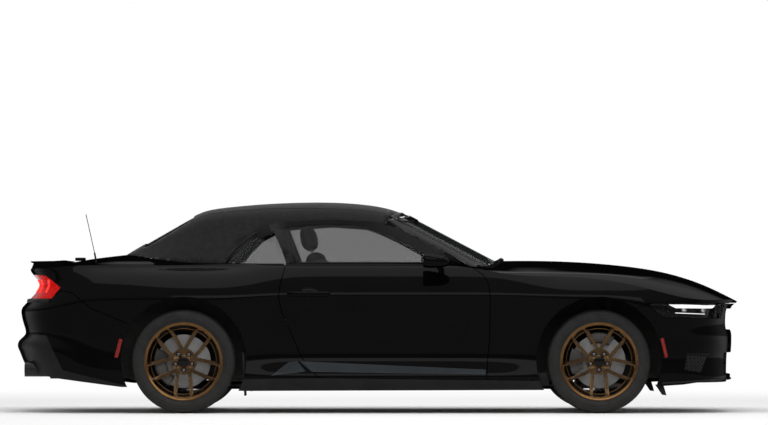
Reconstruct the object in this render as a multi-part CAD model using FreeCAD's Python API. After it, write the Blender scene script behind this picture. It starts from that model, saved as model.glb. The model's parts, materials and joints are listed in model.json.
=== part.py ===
import FreeCAD
import Part
import math
import os

from FreeCAD import Vector

# Two-door muscle car with a closed fabric top.
# +X is forward, +Y is the car's left and +Z is up. The origin is on the ground, under the middle of the car.
# Lengths are in millimetres.

# Driving sizes
OVERALL_LENGTH = 4811.0
OVERALL_HEIGHT = 1394.0
HALF_WIDTH = 957.0
WHEELBASE = 2720.0
REAR_OVERHANG = 1141.0
FRONT_HALF_TRACK = 798.0
REAR_HALF_TRACK = 822.0
TYRE_RADIUS = 340.0
TYRE_WIDTH = 250.0
RIM_RADIUS = 257.0
RIM_WIDTH = 238.0

REAR_AXLE_X = REAR_OVERHANG - OVERALL_LENGTH / 2
FRONT_AXLE_X = REAR_AXLE_X + WHEELBASE

# Gaps and walls
PANEL_GAP = 5.0
PANEL_WALL = 26.0
GLASS_WALL = 5.0
TOP_WALL = 22.0
SEAT_GAP = 0.3
OVERRUN = 400.0

# The photograph is 768 pixels wide and looks square at the car's right side. A point of it is turned into a
# place on the car by at(), which allows for how far the point is from the camera.
VIEW_PX = 384.0
GROUND_PX = 412.9
ROOF_PX = 203.3
TAIL_PX = 18.5
NOSE_PX = 735.5
CAMERA_DISTANCE = 7.5 * OVERALL_LENGTH
CAMERA_HEIGHT = 0.54 * OVERALL_HEIGHT
CENTRE_GROWTH = 1 + HALF_WIDTH / CAMERA_DISTANCE
MM_PER_PX_ALONG = OVERALL_LENGTH / ((NOSE_PX - TAIL_PX) * CENTRE_GROWTH)
MM_PER_PX_UP = (CAMERA_HEIGHT + (OVERALL_HEIGHT - CAMERA_HEIGHT) / CENTRE_GROWTH) / (GROUND_PX - ROOF_PX)
CAMERA_X = OVERALL_LENGTH / 2 - (NOSE_PX - VIEW_PX) * MM_PER_PX_ALONG * CENTRE_GROWTH


def at(px, py, y=None):
    """Where the photograph's point (px, py) is, as (x, z), on the plane at y.

    Without y it is on the plane of the car's right side."""
    depth = HALF_WIDTH + (-HALF_WIDTH if y is None else y)
    growth = 1 + depth / CAMERA_DISTANCE
    x = CAMERA_X + (px - VIEW_PX) * MM_PER_PX_ALONG * growth
    z = CAMERA_HEIGHT + ((GROUND_PX - py) * MM_PER_PX_UP - CAMERA_HEIGHT) * growth
    return x, z


def outline(points_px, y=None):
    """The places of a list of the photograph's points, on the plane at y."""
    return [at(px, py, y) for px, py in points_px]


def height(py, y=None):
    """The height above the ground of the photograph's row py, on the plane at y."""
    return at(VIEW_PX, py, y)[1]


def along(px, y=None):
    """The place along the car of the photograph's column px, on the plane at y."""
    return at(px, GROUND_PX, y)[0]


def blend(a, b, share):
    """The value that lies at share of the way from a to b."""
    return a + (b - a) * share


def knots_and_mults(count):
    """Knots and multiplicities of an open cubic with that many poles."""
    spans = count - 3
    return [float(k) for k in range(spans + 1)], [4] + [1] * (spans - 1) + [4]


def cubic_surface(poles):
    """An open bicubic surface on a grid of poles."""
    u_knots, u_mults = knots_and_mults(len(poles))
    v_knots, v_mults = knots_and_mults(len(poles[0]))
    surface = Part.BSplineSurface()
    surface.buildFromPolesMultsKnots(poles, u_mults, v_mults, u_knots, v_knots, False, False, 3, 3)
    return surface


def cubic_edge(poles):
    """An open cubic curve on a row of poles, as an edge."""
    knots, mults = knots_and_mults(len(poles))
    curve = Part.BSplineCurve()
    curve.buildFromPolesMultsKnots(poles, mults, knots, False, 3)
    return curve.toShape()


def closed_solid(faces):
    """The solid that the faces enclose."""
    shell = Part.Shell(faces)
    shell.sewShape()
    solid = Part.Solid(shell)
    if solid.Volume < 0:
        solid.reverse()
    return solid


def polygon(points):
    return Part.Wire(Part.makePolygon(points + [points[0]]))


def side_prism(points, y0, y1):
    """The solid whose side view is the polygon of (x, z) points, from y0 to y1."""
    face = Part.Face(polygon([Vector(x, y0, z) for x, z in points]))
    return face.extrude(Vector(0, y1 - y0, 0))


def plan_prism(points, z0, z1):
    """The solid whose plan view is the polygon of (x, y) points, from z0 to z1."""
    face = Part.Face(polygon([Vector(x, y, z0) for x, y in points]))
    return face.extrude(Vector(0, 0, z1 - z0))


def box(x0, x1, y0, y1, z0, z1):
    return Part.makeBox(x1 - x0, y1 - y0, z1 - z0, Vector(x0, y0, z0))


def both_ways(points):
    """A plan outline of the right half, with its mirror image, as one closed outline."""
    return points + [(x, -y) for x, y in reversed(points) if y != 0]


def left_of(shape):
    """The mirror image, on the car's left, of a shape on its right."""
    return shape.mirror(Vector(0, 0, 0), Vector(0, 1, 0))


def with_left(shape):
    """A shape on the right with its mirror image on the left."""
    return Part.makeCompound(shape.Solids + left_of(shape).Solids)


def rod(start, end, radius):
    """A round bar between two points."""
    line = Vector(*end) - Vector(*start)
    return Part.makeCylinder(radius, line.Length, Vector(*start), line)


def cross_cylinder(x, z, radius, y0, y1):
    """A cylinder that lies across the car."""
    return Part.makeCylinder(radius, y1 - y0, Vector(x, y0, z), Vector(0, 1, 0))


# Body form
# The skin round the car is one surface. Its poles stand at stations from the middle of the nose,
# along the right side, to the middle of the tail. A station has a place in plan, and a section: rows of
# (share of the half width that the row stands out from that place, photograph row). Row 3 is the shoulder,
# rows 6 to 8 the crease, rows 14 to 16 the sill.
NOSE_SECTION_SHARES = [
    (0.058, 253), (0.058, 276), (0.058, 291), (0.058, 299.5), (0.056, 303), (0.016, 305), (0.002, 312),
    (-0.001, 319), (-0.001, 323), (0.000, 328), (0.012, 331.8), (0.016, 334.5), (0.016, 344), (0.012, 352),
    (0.010, 356), (0.008, 361), (0.006, 370), (0.006, 376), (0.006, 380), (0.006, 394.6)]
NOSE_CORNER_SECTION_SHARES = [
    (0.000, 253), (0.012, 274), (0.018, 289), (0.020, 297.5), (0.018, 301), (0.010, 306), (0.004, 312),
    (0.002, 317), (0.000, 320), (-0.002, 328), (0.003, 332), (0.004, 338), (-0.004, 346), (-0.012, 353),
    (-0.014, 358), (-0.010, 364), (-0.004, 371), (0.000, 376), (0.000, 380), (-0.010, 394.6)]
BUMPER_SIDE_SECTION_SHARES = [
    (-0.070, 253), (-0.062, 268), (-0.050, 281), (-0.036, 287.5), (-0.020, 292), (-0.006, 299), (0.000, 306),
    (0.002, 313), (0.001, 318), (-0.003, 325), (-0.006, 333), (-0.008, 341), (-0.010, 349), (-0.012, 356),
    (-0.012, 361), (-0.008, 368), (-0.006, 374), (-0.010, 379), (-0.018, 384), (-0.050, 394.6)]
FRONT_WHEEL_SECTION_SHARES = [
    (-0.150, 253), (-0.143, 263), (-0.128, 271.5), (-0.104, 275.5), (-0.064, 281), (-0.022, 288.5),
    (-0.003, 293.5), (0.001, 296), (0.002, 299), (0.000, 305), (-0.004, 316), (-0.008, 333),
    (-0.012, 349), (-0.014, 359), (-0.012, 363.5), (-0.008, 373), (-0.008, 376.5), (-0.012, 382.5),
    (-0.030, 387.8), (-0.060, 394.6)]
DOOR_SECTION_SHARES = [
    (-0.330, 253), (-0.157, 261), (-0.102, 266), (-0.088, 268.5), (-0.056, 275), (-0.020, 285),
    (-0.003, 292.5), (0.000, 295), (-0.001, 297), (-0.009, 300.5), (-0.024, 315), (-0.036, 333),
    (-0.044, 349), (-0.045, 358), (-0.034, 363), (-0.006, 372.5), (0.000, 376), (-0.004, 381.5),
    (-0.020, 387), (-0.060, 394.6)]
REAR_WHEEL_SECTION_SHARES = [
    (-0.200, 253), (-0.190, 261.5), (-0.172, 266), (-0.144, 269), (-0.088, 275.5), (-0.028, 287),
    (-0.004, 294), (0.001, 297.5), (0.002, 300), (0.000, 306), (-0.006, 318), (-0.012, 333),
    (-0.018, 349), (-0.020, 359), (-0.018, 363.5), (-0.010, 372), (-0.010, 376), (-0.014, 382),
    (-0.030, 388), (-0.060, 394.6)]
TAIL_SIDE_SECTION_SHARES = [
    (-0.170, 253), (-0.158, 261), (-0.140, 266), (-0.120, 269), (-0.074, 275.5), (-0.030, 285),
    (-0.008, 294), (0.000, 300), (-0.004, 304), (-0.014, 310), (-0.024, 320), (-0.030, 333),
    (-0.034, 345), (-0.034, 354), (-0.032, 360), (-0.028, 366), (-0.028, 372), (-0.032, 377),
    (-0.044, 384), (-0.080, 394.6)]
TAIL_CORNER_SECTION_SHARES = [
    (-0.080, 253), (-0.066, 262), (-0.050, 266), (-0.050, 270), (-0.070, 277), (-0.092, 285),
    (-0.066, 293), (-0.034, 301), (-0.010, 307), (-0.004, 311), (-0.018, 322), (-0.034, 331.5),
    (-0.028, 336), (-0.004, 340.5), (0.000, 347), (-0.010, 351.5), (-0.016, 357), (-0.036, 366),
    (-0.066, 374), (-0.090, 394.6)]
TAIL_SECTION_SHARES = [
    (-0.110, 253), (-0.104, 262), (-0.080, 266), (-0.066, 270.5), (-0.110, 277), (-0.156, 284.5),
    (-0.118, 292), (-0.066, 300), (-0.016, 307), (-0.004, 311), (-0.018, 322), (-0.044, 331.5),
    (-0.036, 336), (0.010, 340.5), (0.022, 346.5), (0.004, 351.5), (-0.010, 357), (-0.036, 366),
    (-0.072, 374), (-0.090, 394.6)]

# Each station: photograph column on the right side plane, share of the half width, two sections, and the
# share of the second one.
STATION_SHARES = [
    (737.3, 0.000, NOSE_SECTION_SHARES, NOSE_SECTION_SHARES, 0.0),
    (737.3, 0.170, NOSE_SECTION_SHARES, NOSE_SECTION_SHARES, 0.0),
    (734.6, 0.400, NOSE_SECTION_SHARES, NOSE_CORNER_SECTION_SHARES, 0.15),
    (727.5, 0.600, NOSE_SECTION_SHARES, NOSE_CORNER_SECTION_SHARES, 0.50),
    (717.0, 0.755, NOSE_CORNER_SECTION_SHARES, NOSE_CORNER_SECTION_SHARES, 0.0),
    (699.0, 0.865, NOSE_CORNER_SECTION_SHARES, BUMPER_SIDE_SECTION_SHARES, 0.40),
    (677.0, 0.937, NOSE_CORNER_SECTION_SHARES, BUMPER_SIDE_SECTION_SHARES, 0.90),
    (654.0, 0.974, BUMPER_SIDE_SECTION_SHARES, FRONT_WHEEL_SECTION_SHARES, 0.40),
    (627.0, 0.989, BUMPER_SIDE_SECTION_SHARES, FRONT_WHEEL_SECTION_SHARES, 0.85),
    (598.0, 0.994, FRONT_WHEEL_SECTION_SHARES, FRONT_WHEEL_SECTION_SHARES, 0.0),
    (570.0, 0.993, FRONT_WHEEL_SECTION_SHARES, FRONT_WHEEL_SECTION_SHARES, 0.0),
    (545.0, 0.986, FRONT_WHEEL_SECTION_SHARES, DOOR_SECTION_SHARES, 0.30),
    (518.0, 0.976, FRONT_WHEEL_SECTION_SHARES, DOOR_SECTION_SHARES, 0.75),
    (485.0, 0.972, DOOR_SECTION_SHARES, DOOR_SECTION_SHARES, 0.0),
    (440.0, 0.971, DOOR_SECTION_SHARES, DOOR_SECTION_SHARES, 0.0),
    (390.0, 0.971, DOOR_SECTION_SHARES, DOOR_SECTION_SHARES, 0.0),
    (340.0, 0.971, DOOR_SECTION_SHARES, DOOR_SECTION_SHARES, 0.0),
    (300.0, 0.972, DOOR_SECTION_SHARES, DOOR_SECTION_SHARES, 0.0),
    (275.0, 0.975, DOOR_SECTION_SHARES, REAR_WHEEL_SECTION_SHARES, 0.15),
    (252.0, 0.986, DOOR_SECTION_SHARES, REAR_WHEEL_SECTION_SHARES, 0.55),
    (230.0, 0.996, DOOR_SECTION_SHARES, REAR_WHEEL_SECTION_SHARES, 0.92),
    (205.0, 1.000, REAR_WHEEL_SECTION_SHARES, REAR_WHEEL_SECTION_SHARES, 0.0),
    (180.0, 1.000, REAR_WHEEL_SECTION_SHARES, REAR_WHEEL_SECTION_SHARES, 0.0),
    (152.0, 0.996, REAR_WHEEL_SECTION_SHARES, TAIL_SIDE_SECTION_SHARES, 0.25),
    (122.0, 0.984, REAR_WHEEL_SECTION_SHARES, TAIL_SIDE_SECTION_SHARES, 0.75),
    (90.0, 0.960, TAIL_SIDE_SECTION_SHARES, TAIL_SIDE_SECTION_SHARES, 0.0),
    (60.0, 0.915, TAIL_SIDE_SECTION_SHARES, TAIL_CORNER_SECTION_SHARES, 0.40),
    (37.0, 0.830, TAIL_CORNER_SECTION_SHARES, TAIL_CORNER_SECTION_SHARES, 0.0),
    (22.5, 0.680, TAIL_CORNER_SECTION_SHARES, TAIL_SECTION_SHARES, 0.40),
    (14.5, 0.450, TAIL_SECTION_SHARES, TAIL_SECTION_SHARES, 0.0),
    (12.0, 0.180, TAIL_SECTION_SHARES, TAIL_SECTION_SHARES, 0.0),
    (12.0, 0.000, TAIL_SECTION_SHARES, TAIL_SECTION_SHARES, 0.0)]

# The form from above: the height of the top surface as photograph rows, along the car, for some shares of
# the half width. The first value of each line is the photograph column; all are read on the car's middle
# plane.
TOP_WIDTH_SHARES = [0.0, 0.18, 0.38, 0.56, 0.70, 0.80, 0.90, 1.05]
TOP_ROWS_PX = [
    (5, [271, 271, 271, 271, 271, 271, 272, 278]),
    (36, [269.6, 269.6, 269.6, 269.6, 269.8, 270, 271, 277]),
    (58, [267.2, 267.2, 267.2, 267.2, 267.6, 268.4, 270, 276]),
    (74, [263.0, 263.0, 263.2, 263.6, 264.8, 266.4, 269, 276]),
    (92, [259.4, 259.5, 259.9, 260.8, 262.8, 265.6, 268, 276]),
    (115, [256.5, 256.6, 257.2, 258.8, 262.2, 265.6, 268, 276]),
    (135, [254.0, 254.4, 256.0, 258.8, 262.2, 265.6, 268, 276]),
    (165, [254.0, 254.6, 256.2, 258.8, 262.2, 265.6, 268, 276]),
    (200, [254.0, 254.6, 256.4, 259.2, 262.2, 265.2, 268, 276]),
    (240, [256.0, 256.5, 258.0, 260.0, 262.5, 264.0, 266, 270]),
    (280, [260.0, 260.0, 261.0, 262.0, 263.5, 264.5, 265, 266]),
    (350, [262.0, 262.0, 262.0, 262.5, 263.5, 264.5, 265, 266]),
    (420, [262.0, 262.0, 262.0, 262.5, 263.5, 264.5, 265, 266]),
    (470, [262.0, 262.0, 262.0, 263.0, 265.0, 266.5, 268, 272]),
    (505, [261.0, 261.1, 262.0, 265.0, 269.0, 272.0, 275, 282]),
    (540, [260.9, 261.0, 262.2, 265.8, 269.8, 272.6, 276, 284]),
    (580, [262.3, 262.4, 263.6, 267.2, 271.0, 273.4, 277, 286]),
    (615, [265.2, 265.3, 266.5, 269.8, 273.2, 275.6, 280, 290]),
    (645, [268.8, 269.0, 270.3, 273.6, 277.6, 280.8, 286, 297]),
    (670, [273.8, 274.0, 275.6, 279.2, 284.0, 288.5, 294, 306]),
    (695, [281.5, 281.8, 283.2, 287.0, 292.0, 297.0, 303, 316]),
    (715, [290.3, 290.6, 291.6, 294.6, 299.0, 303.5, 310, 324]),
    (732, [299.2, 299.4, 300.2, 302.0, 305.5, 310.0, 317, 332]),
    (745, [306.0, 306.2, 307.0, 309.0, 312.0, 317.0, 324, 340])]

# The body's lower edge, as seen from the side
LOWER_EDGE_PX = [
    (0, 373), (33, 373.2), (51, 377.7), (92, 383), (121, 386.7), (150, 386.7), (244, 390.6), (556, 389.6),
    (640, 387), (684, 384.4), (716, 380.0), (768, 379.0)]


def station_frames():
    """The plan place and outward direction of each station, from nose to tail."""
    places = []
    for px, width_share, *_ in STATION_SHARES:
        y = -HALF_WIDTH * width_share
        places.append((along(px), y))
    frames = []
    last = len(places) - 1
    for i, (x, y) in enumerate(places):
        if i == 0 or i == 1:
            normal = (1.0, 0.0)
        elif i >= last - 1:
            normal = (-1.0, 0.0)
        else:
            (xa, ya), (xb, yb) = places[i - 1], places[i + 1]
            size = math.hypot(xb - xa, yb - ya)
            normal = (-(yb - ya) / size, (xb - xa) / size)
        frames.append((x, y, normal))
    return frames


def skin_poles(inset):
    """The poles of the body's right half, moved inwards by inset."""
    rows = []
    for (x, y, normal), (_, _, first, second, share) in zip(station_frames(), STATION_SHARES):
        row = []
        for (out_a, py_a), (out_b, py_b) in zip(first, second):
            out = blend(out_a, out_b, share) * HALF_WIDTH - inset
            row.append(Vector(x + normal[0] * out, min(y + normal[1] * out, 0.0),
                              height(blend(py_a, py_b, share))))
        rows.append(row)
    return rows


def skin_solid(inset):
    """The space within the skin, moved inwards by inset and closed level at its top and bottom."""
    right = skin_poles(inset)
    left = [[Vector(p.x, -p.y, p.z) for p in row] for row in right]
    faces = [cubic_surface(right).toShape(), cubic_surface(left).toShape()]
    for side in (0, -1):
        edges = [cubic_edge([row[side] for row in half]) for half in (right, left)]
        faces.append(Part.Face(Part.Wire(edges)))
    return closed_solid(faces)


def top_solid(inset):
    """The space below the top surface, lowered by inset."""
    poles = []
    widths = [-share for share in reversed(TOP_WIDTH_SHARES[1:])] + TOP_WIDTH_SHARES
    for px, rows in TOP_ROWS_PX:
        rows = list(reversed(rows[1:])) + rows
        line = []
        for share, py in zip(widths, rows):
            x, z = at(px, py, 0.0)
            line.append(Vector(x, share * HALF_WIDTH, z - inset))
        poles.append(line)
    face = cubic_surface(poles).toShape()
    return face.extrude(Vector(0, 0, -OVERALL_HEIGHT))


def lower_solid(drop):
    """The space above the body's lower edge, with that edge moved down by drop."""
    edge = [(x, z - drop) for x, z in outline(LOWER_EDGE_PX)]
    top = [(edge[-1][0], OVERALL_HEIGHT), (edge[0][0], OVERALL_HEIGHT)]
    return side_prism(edge + top, -HALF_WIDTH - OVERRUN, HALF_WIDTH + OVERRUN)


def body_solid(inset, floor_gap=0.0):
    """The body below the windows as one solid, with its faces moved inwards by inset."""
    solid = skin_solid(inset).common(top_solid(inset))
    return solid.common(lower_solid(floor_gap))


def band_outline(points, width):
    """The closed outline of a strip of the given width that runs along the points."""
    half = width / 2
    left = []
    right = []
    for i, (x, z) in enumerate(points):
        before = points[max(i - 1, 0)]
        after = points[min(i + 1, len(points) - 1)]
        turns = []
        for (xa, za), (xb, zb) in ((before, (x, z)), ((x, z), after)):
            size = math.hypot(xb - xa, zb - za)
            if size > 0:
                turns.append((-(zb - za) / size, (xb - xa) / size))
        nx = sum(n[0] for n in turns) / len(turns)
        nz = sum(n[1] for n in turns) / len(turns)
        stretch = nx * nx + nz * nz
        nx, nz = nx / stretch * half, nz / stretch * half
        left.append((x + nx, z + nz))
        right.append((x - nx, z - nz))
    return left + right[::-1]


def side_band(points, width):
    """A strip along a side-view line, right through the car."""
    return side_prism(band_outline(points, width), -HALF_WIDTH - OVERRUN, HALF_WIDTH + OVERRUN)


def plan_band(points, width, z0, z1):
    return plan_prism(band_outline(points, width), z0, z1)


def through(points):
    """A side-view outline, right through the car."""
    return side_prism(points, -HALF_WIDTH - OVERRUN, HALF_WIDTH + OVERRUN)


def sides_beyond(half_width):
    """The space beyond half_width on both sides of the car."""
    reach = OVERALL_LENGTH
    return Part.makeCompound([
        box(-reach, reach, -HALF_WIDTH - OVERRUN, -half_width, -OVERRUN, OVERALL_HEIGHT + OVERRUN),
        box(-reach, reach, half_width, HALF_WIDTH + OVERRUN, -OVERRUN, OVERALL_HEIGHT + OVERRUN)])


def right_beyond(half_width):
    return box(-OVERALL_LENGTH, OVERALL_LENGTH, -HALF_WIDTH - OVERRUN, -half_width, -OVERRUN,
               OVERALL_HEIGHT + OVERRUN)


SLIVER_SHARE = 0.02


def main_solids(shape):
    """The solids of a shape, without the slivers that a cut can leave."""
    whole = shape.Volume
    return Part.makeCompound([solid for solid in shape.Solids if solid.Volume > whole * SLIVER_SHARE])


# Shut lines, in photograph pixels on the car's right side
DOOR_REAR_EDGE_PX = [
    (284.6, 240), (284.6, 268), (280.4, 283), (278.2, 297), (281.9, 312.4), (290.8, 332.9), (301, 355.8),
    (310, 369), (319, 377.4)]
DOOR_FRONT_EDGE_PX = [
    (486.8, 379.4), (487.6, 363.5), (490, 335), (490.4, 299.7), (489, 284.4), (484, 275.5), (476, 269.5),
    (464, 265.8), (460, 240)]
SKIRT_TOP_PX = [(190, 378.6), (319, 377.4), (486.8, 379.4), (570, 380.4)]
FRONT_BUMPER_EDGE_PX = [(780, 303.4), (719, 303.2), (651, 303.2), (631, 310.4), (640, 330), (640, 420)]
REAR_BUMPER_EDGE_PX = [
    (0, 300.6), (44, 300.2), (60, 290.5), (71.4, 293), (89.8, 307.9), (130, 324.7), (150, 420)]
BONNET_SHUT_PX = 303.4
BOOT_SHUT_PX = 300.6
FENDER_REST_PX = [
    (460, 200), (780, 200), (780, 303.4), (719, 303.2), (651, 303.2), (631, 310.4), (640, 330), (600, 380.4),
    (570, 380.4)]
QUARTER_REST_PX = [(150, 378.6), (190, 378.6), (319, 377.4)]
FENDER_PX = FENDER_REST_PX + DOOR_FRONT_EDGE_PX[:-1]
QUARTER_PX = [(284.6, 200), (0, 200)] + REAR_BUMPER_EDGE_PX[:-1] + QUARTER_REST_PX + DOOR_REAR_EDGE_PX[-2:0:-1]
SKIRT_PX = SKIRT_TOP_PX + [(600, 420), (170, 420)]
FRONT_BUMPER_PX = FRONT_BUMPER_EDGE_PX[:-1] + [(610, 420), (780, 420)]
REAR_BUMPER_PX = REAR_BUMPER_EDGE_PX[:-1] + [(150, 378.6), (160, 420), (0, 420)]
HEADLAMP_PX = [
    (645.5, 303.2), (651, 303.2), (719, 303.2), (728, 304.5), (724, 318.6), (700, 318.2), (662, 316.6)]
TAIL_LAMP_PX = [(20, 274), (43, 275.5), (49, 279.5), (59, 287.5), (50, 298.4), (20, 298.4)]

# Plan outlines of the right half, as shares of the half length and of the half width
BONNET_PLAN_SHARES = [
    (1.10, 0.0), (1.10, -0.470), (0.965, -0.520), (0.925, -0.600), (0.870, -0.690), (0.790, -0.752),
    (0.640, -0.775), (0.460, -0.775), (0.318, -0.762), (0.330, -0.640), (0.349, -0.420), (0.360, -0.200),
    (0.363, 0.0)]
COWL_PLAN_SHARES = [
    (0.363, 0.0), (0.360, -0.200), (0.349, -0.420), (0.330, -0.640), (0.318, -0.762), (0.288, -0.772),
    (0.262, -0.762), (0.296, -0.600), (0.328, -0.360), (0.342, -0.160), (0.344, 0.0)]
BOOT_PLAN_SHARES = [
    (-1.10, 0.0), (-1.10, -0.660), (-0.900, -0.690), (-0.780, -0.660), (-0.742, -0.560), (-0.730, -0.300),
    (-0.728, 0.0)]
CABIN_PLAN_SHARES = [
    (0.344, 0.0), (0.342, -0.160), (0.328, -0.360), (0.296, -0.600), (0.262, -0.762), (0.240, -0.815),
    (-0.290, -0.815), (-0.420, -0.770), (-0.540, -0.700), (-0.630, -0.560), (-0.668, -0.360), (-0.680, 0.0)]


def plan_points(shares):
    """A closed plan outline over both halves, from the shares of its right half."""
    half = [(x * OVERALL_LENGTH / 2, y * HALF_WIDTH) for x, y in shares]
    return both_ways(half)


def plan_line(shares):
    """An open plan line over both halves, from the shares of its right half."""
    half = [(x * OVERALL_LENGTH / 2, y * HALF_WIDTH) for x, y in shares]
    return half[::-1] + [(x, -y) for x, y in half[1:]]


# Wheel arches
ARCH_RADIUS = 412.0
ARCH_LIFT = 12.0
LINER_RADIUS = 446.0
LINER_WALL = 8.0
FRONT_WELL_INNER = 478.0
REAR_WELL_INNER = 640.0

# Cabin and structure
CABIN_HALF_WIDTH = 780.0
JAMB_WALL = 20.0
JAMB_GAP = 7.0
DOOR_LIP = 24.0
FLOOR_BOTTOM = 205.0
FLOOR_WALL = 20.0
LAMP_DEPTH = 60.0


def arch_cylinders(radius, inner_front, inner_rear, lift):
    """The round spaces over the wheels, from the given distances off the middle plane outwards."""
    spaces = []
    for axle_x, inner in ((FRONT_AXLE_X, inner_front), (REAR_AXLE_X, inner_rear)):
        spaces.append(cross_cylinder(axle_x, TYRE_RADIUS + lift, radius, -HALF_WIDTH - OVERRUN, -inner))
        spaces.append(cross_cylinder(axle_x, TYRE_RADIUS + lift, radius, inner, HALF_WIDTH + OVERRUN))
    return Part.makeCompound(spaces)


def door_outline():
    return outline(DOOR_REAR_EDGE_PX + DOOR_FRONT_EDGE_PX)


HEADLAMP_INNER = 575.0
TAIL_LAMP_INNER = 440.0


class BodyForms:
    """The solids that more than one panel is cut from."""

    def __init__(self):
        self.outer = body_solid(0.0)
        self.inner = body_solid(PANEL_WALL, OVERRUN)
        self.deep = body_solid(LAMP_DEPTH, OVERRUN)
        self.shell = self.outer.cut(self.inner)
        self.right_half = right_beyond(0.0)
        self.right_outer = self.outer.common(self.right_half)
        self.right_inner = self.inner.common(self.right_half)
        self.right_shell = self.right_outer.cut(self.right_inner)
        self.rest = body_solid(PANEL_WALL + SEAT_GAP, OVERRUN)
        self.arches = arch_cylinders(ARCH_RADIUS, 0.0, 0.0, ARCH_LIFT)
        self.wells = arch_cylinders(LINER_RADIUS, FRONT_WELL_INNER, REAR_WELL_INNER, ARCH_LIFT)
        self.bonnet_space = plan_prism(plan_points(BONNET_PLAN_SHARES), height(BONNET_SHUT_PX),
                                       OVERALL_HEIGHT)
        self.boot_space = plan_prism(plan_points(BOOT_PLAN_SHARES), height(BOOT_SHUT_PX), OVERALL_HEIGHT)
        self.cabin_space = plan_prism(plan_points(CABIN_PLAN_SHARES), FLOOR_BOTTOM, OVERALL_HEIGHT)
        self.cowl_space = plan_prism(plan_points(COWL_PLAN_SHARES), height(BONNET_SHUT_PX), OVERALL_HEIGHT)
        middle = BONNET_PLAN_SHARES[:9] + COWL_PLAN_SHARES[5:7] + CABIN_PLAN_SHARES[5:]
        self.middle_space = plan_prism(plan_points(middle), height(BONNET_SHUT_PX), OVERALL_HEIGHT)
        self.door_space = through(door_outline())
        self.door_band = side_band(outline(DOOR_REAR_EDGE_PX + DOOR_FRONT_EDGE_PX), PANEL_GAP)
        self.skirt_band = side_band(outline(SKIRT_TOP_PX), PANEL_GAP)
        self.bumper_band = side_band(outline(FRONT_BUMPER_EDGE_PX), PANEL_GAP)
        self.rear_bumper_band = side_band(outline(REAR_BUMPER_EDGE_PX), PANEL_GAP)
        self.bonnet_band = plan_band(plan_line(BONNET_PLAN_SHARES), PANEL_GAP, height(BONNET_SHUT_PX),
                                     OVERALL_HEIGHT)
        self.boot_band = plan_band(plan_line(BOOT_PLAN_SHARES), PANEL_GAP, height(BOOT_SHUT_PX),
                                   OVERALL_HEIGHT)
        self.headlamp_space = through(outline(HEADLAMP_PX)).common(sides_beyond(HEADLAMP_INNER))
        self.tail_lamp_space = through(outline(TAIL_LAMP_PX)).common(sides_beyond(TAIL_LAMP_INNER))


def bonnet(forms):
    skin = forms.shell.common(forms.bonnet_space)
    return main_solids(skin.cut([forms.bonnet_band, forms.bumper_band]))


def boot_lid(forms):
    skin = forms.shell.common(forms.boot_space)
    return main_solids(skin.cut([forms.boot_band, forms.rear_bumper_band, forms.tail_lamp_space]))


def cowl(forms):
    return main_solids(forms.shell.common(forms.cowl_space).cut([forms.bonnet_band, forms.bonnet_space]))


def front_fenders(forms):
    skin = forms.right_shell.common(through(outline(FENDER_PX))).cut(forms.middle_space)
    return with_left(main_solids(skin.cut([
        forms.bonnet_band, forms.arches, forms.bumper_band, forms.door_band, forms.skirt_band])))


def rear_quarters(forms):
    skin = forms.shell.common(through(outline(QUARTER_PX)))
    return main_solids(skin.cut([
        forms.boot_space, forms.boot_band, forms.cabin_space, forms.arches, forms.rear_bumper_band,
        forms.door_band, forms.skirt_band, forms.tail_lamp_space]))


def side_skirts(forms):
    skin = forms.right_shell.common(through(outline(SKIRT_PX)))
    return with_left(main_solids(skin.cut([forms.arches, forms.skirt_band, forms.door_band])))


UPPER_GRILLE_HALF = 540.0
UPPER_GRILLE_LOW = 545.0
UPPER_GRILLE_HIGH = 685.0
LOWER_GRILLE_HALF = 560.0
LOWER_GRILLE_LOW = 250.0
LOWER_GRILLE_HIGH = 395.0


def front_bumper(forms):
    skin = forms.shell.common(through(outline(FRONT_BUMPER_PX)))
    openings = [box(FRONT_AXLE_X, OVERALL_LENGTH, -half, half, low, high)
                for half, low, high in ((UPPER_GRILLE_HALF, UPPER_GRILLE_LOW, UPPER_GRILLE_HIGH),
                                        (LOWER_GRILLE_HALF, LOWER_GRILLE_LOW, LOWER_GRILLE_HIGH))]
    tow_way = Part.makeCylinder(TOW_WAY_RADIUS, OVERALL_LENGTH, Vector(FRONT_RAIL_END, TOW_Y, TOW_Z),
                                Vector(1, 0, 0))
    return main_solids(skin.cut([forms.arches, forms.bumper_band, forms.headlamp_space, tow_way] + openings))


BEAM_WALL = 34.0
BEAM_HALF = 500.0
BEAM_LOW = 375.0
BEAM_TOP = 465.0
TOW_Y = -430.0
TOW_Z = 442.0
TOW_BORE_RADIUS = 8.0
TOW_BOSS_RADIUS = 15.0
TOW_BOSS_REACH = 20.0
TOW_WAY_RADIUS = 24.0


def bumper_beam(forms):
    """The beam across the ends of the front rails, with the threaded socket of the towing eye."""
    rear = FRONT_RAIL_END + SEAT_GAP
    beam = box(rear, rear + BEAM_WALL, -BEAM_HALF, BEAM_HALF, BEAM_LOW, BEAM_TOP).common(forms.rest)
    length = BEAM_WALL + TOW_BOSS_REACH * 2
    start = Vector(rear - TOW_BOSS_REACH, TOW_Y, TOW_Z)
    along_car = Vector(1, 0, 0)
    boss = Part.makeCylinder(TOW_BOSS_RADIUS, length, start, along_car)
    bore = Part.makeCylinder(TOW_BORE_RADIUS, length, start, along_car)
    return main_solids(beam.fuse(boss).cut(bore))


GRILLE_DEPTH = 12.0
GRILLE_BAR = 14.0
GRILLE_COLUMNS = 9
GRILLE_ROWS = 2


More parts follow.
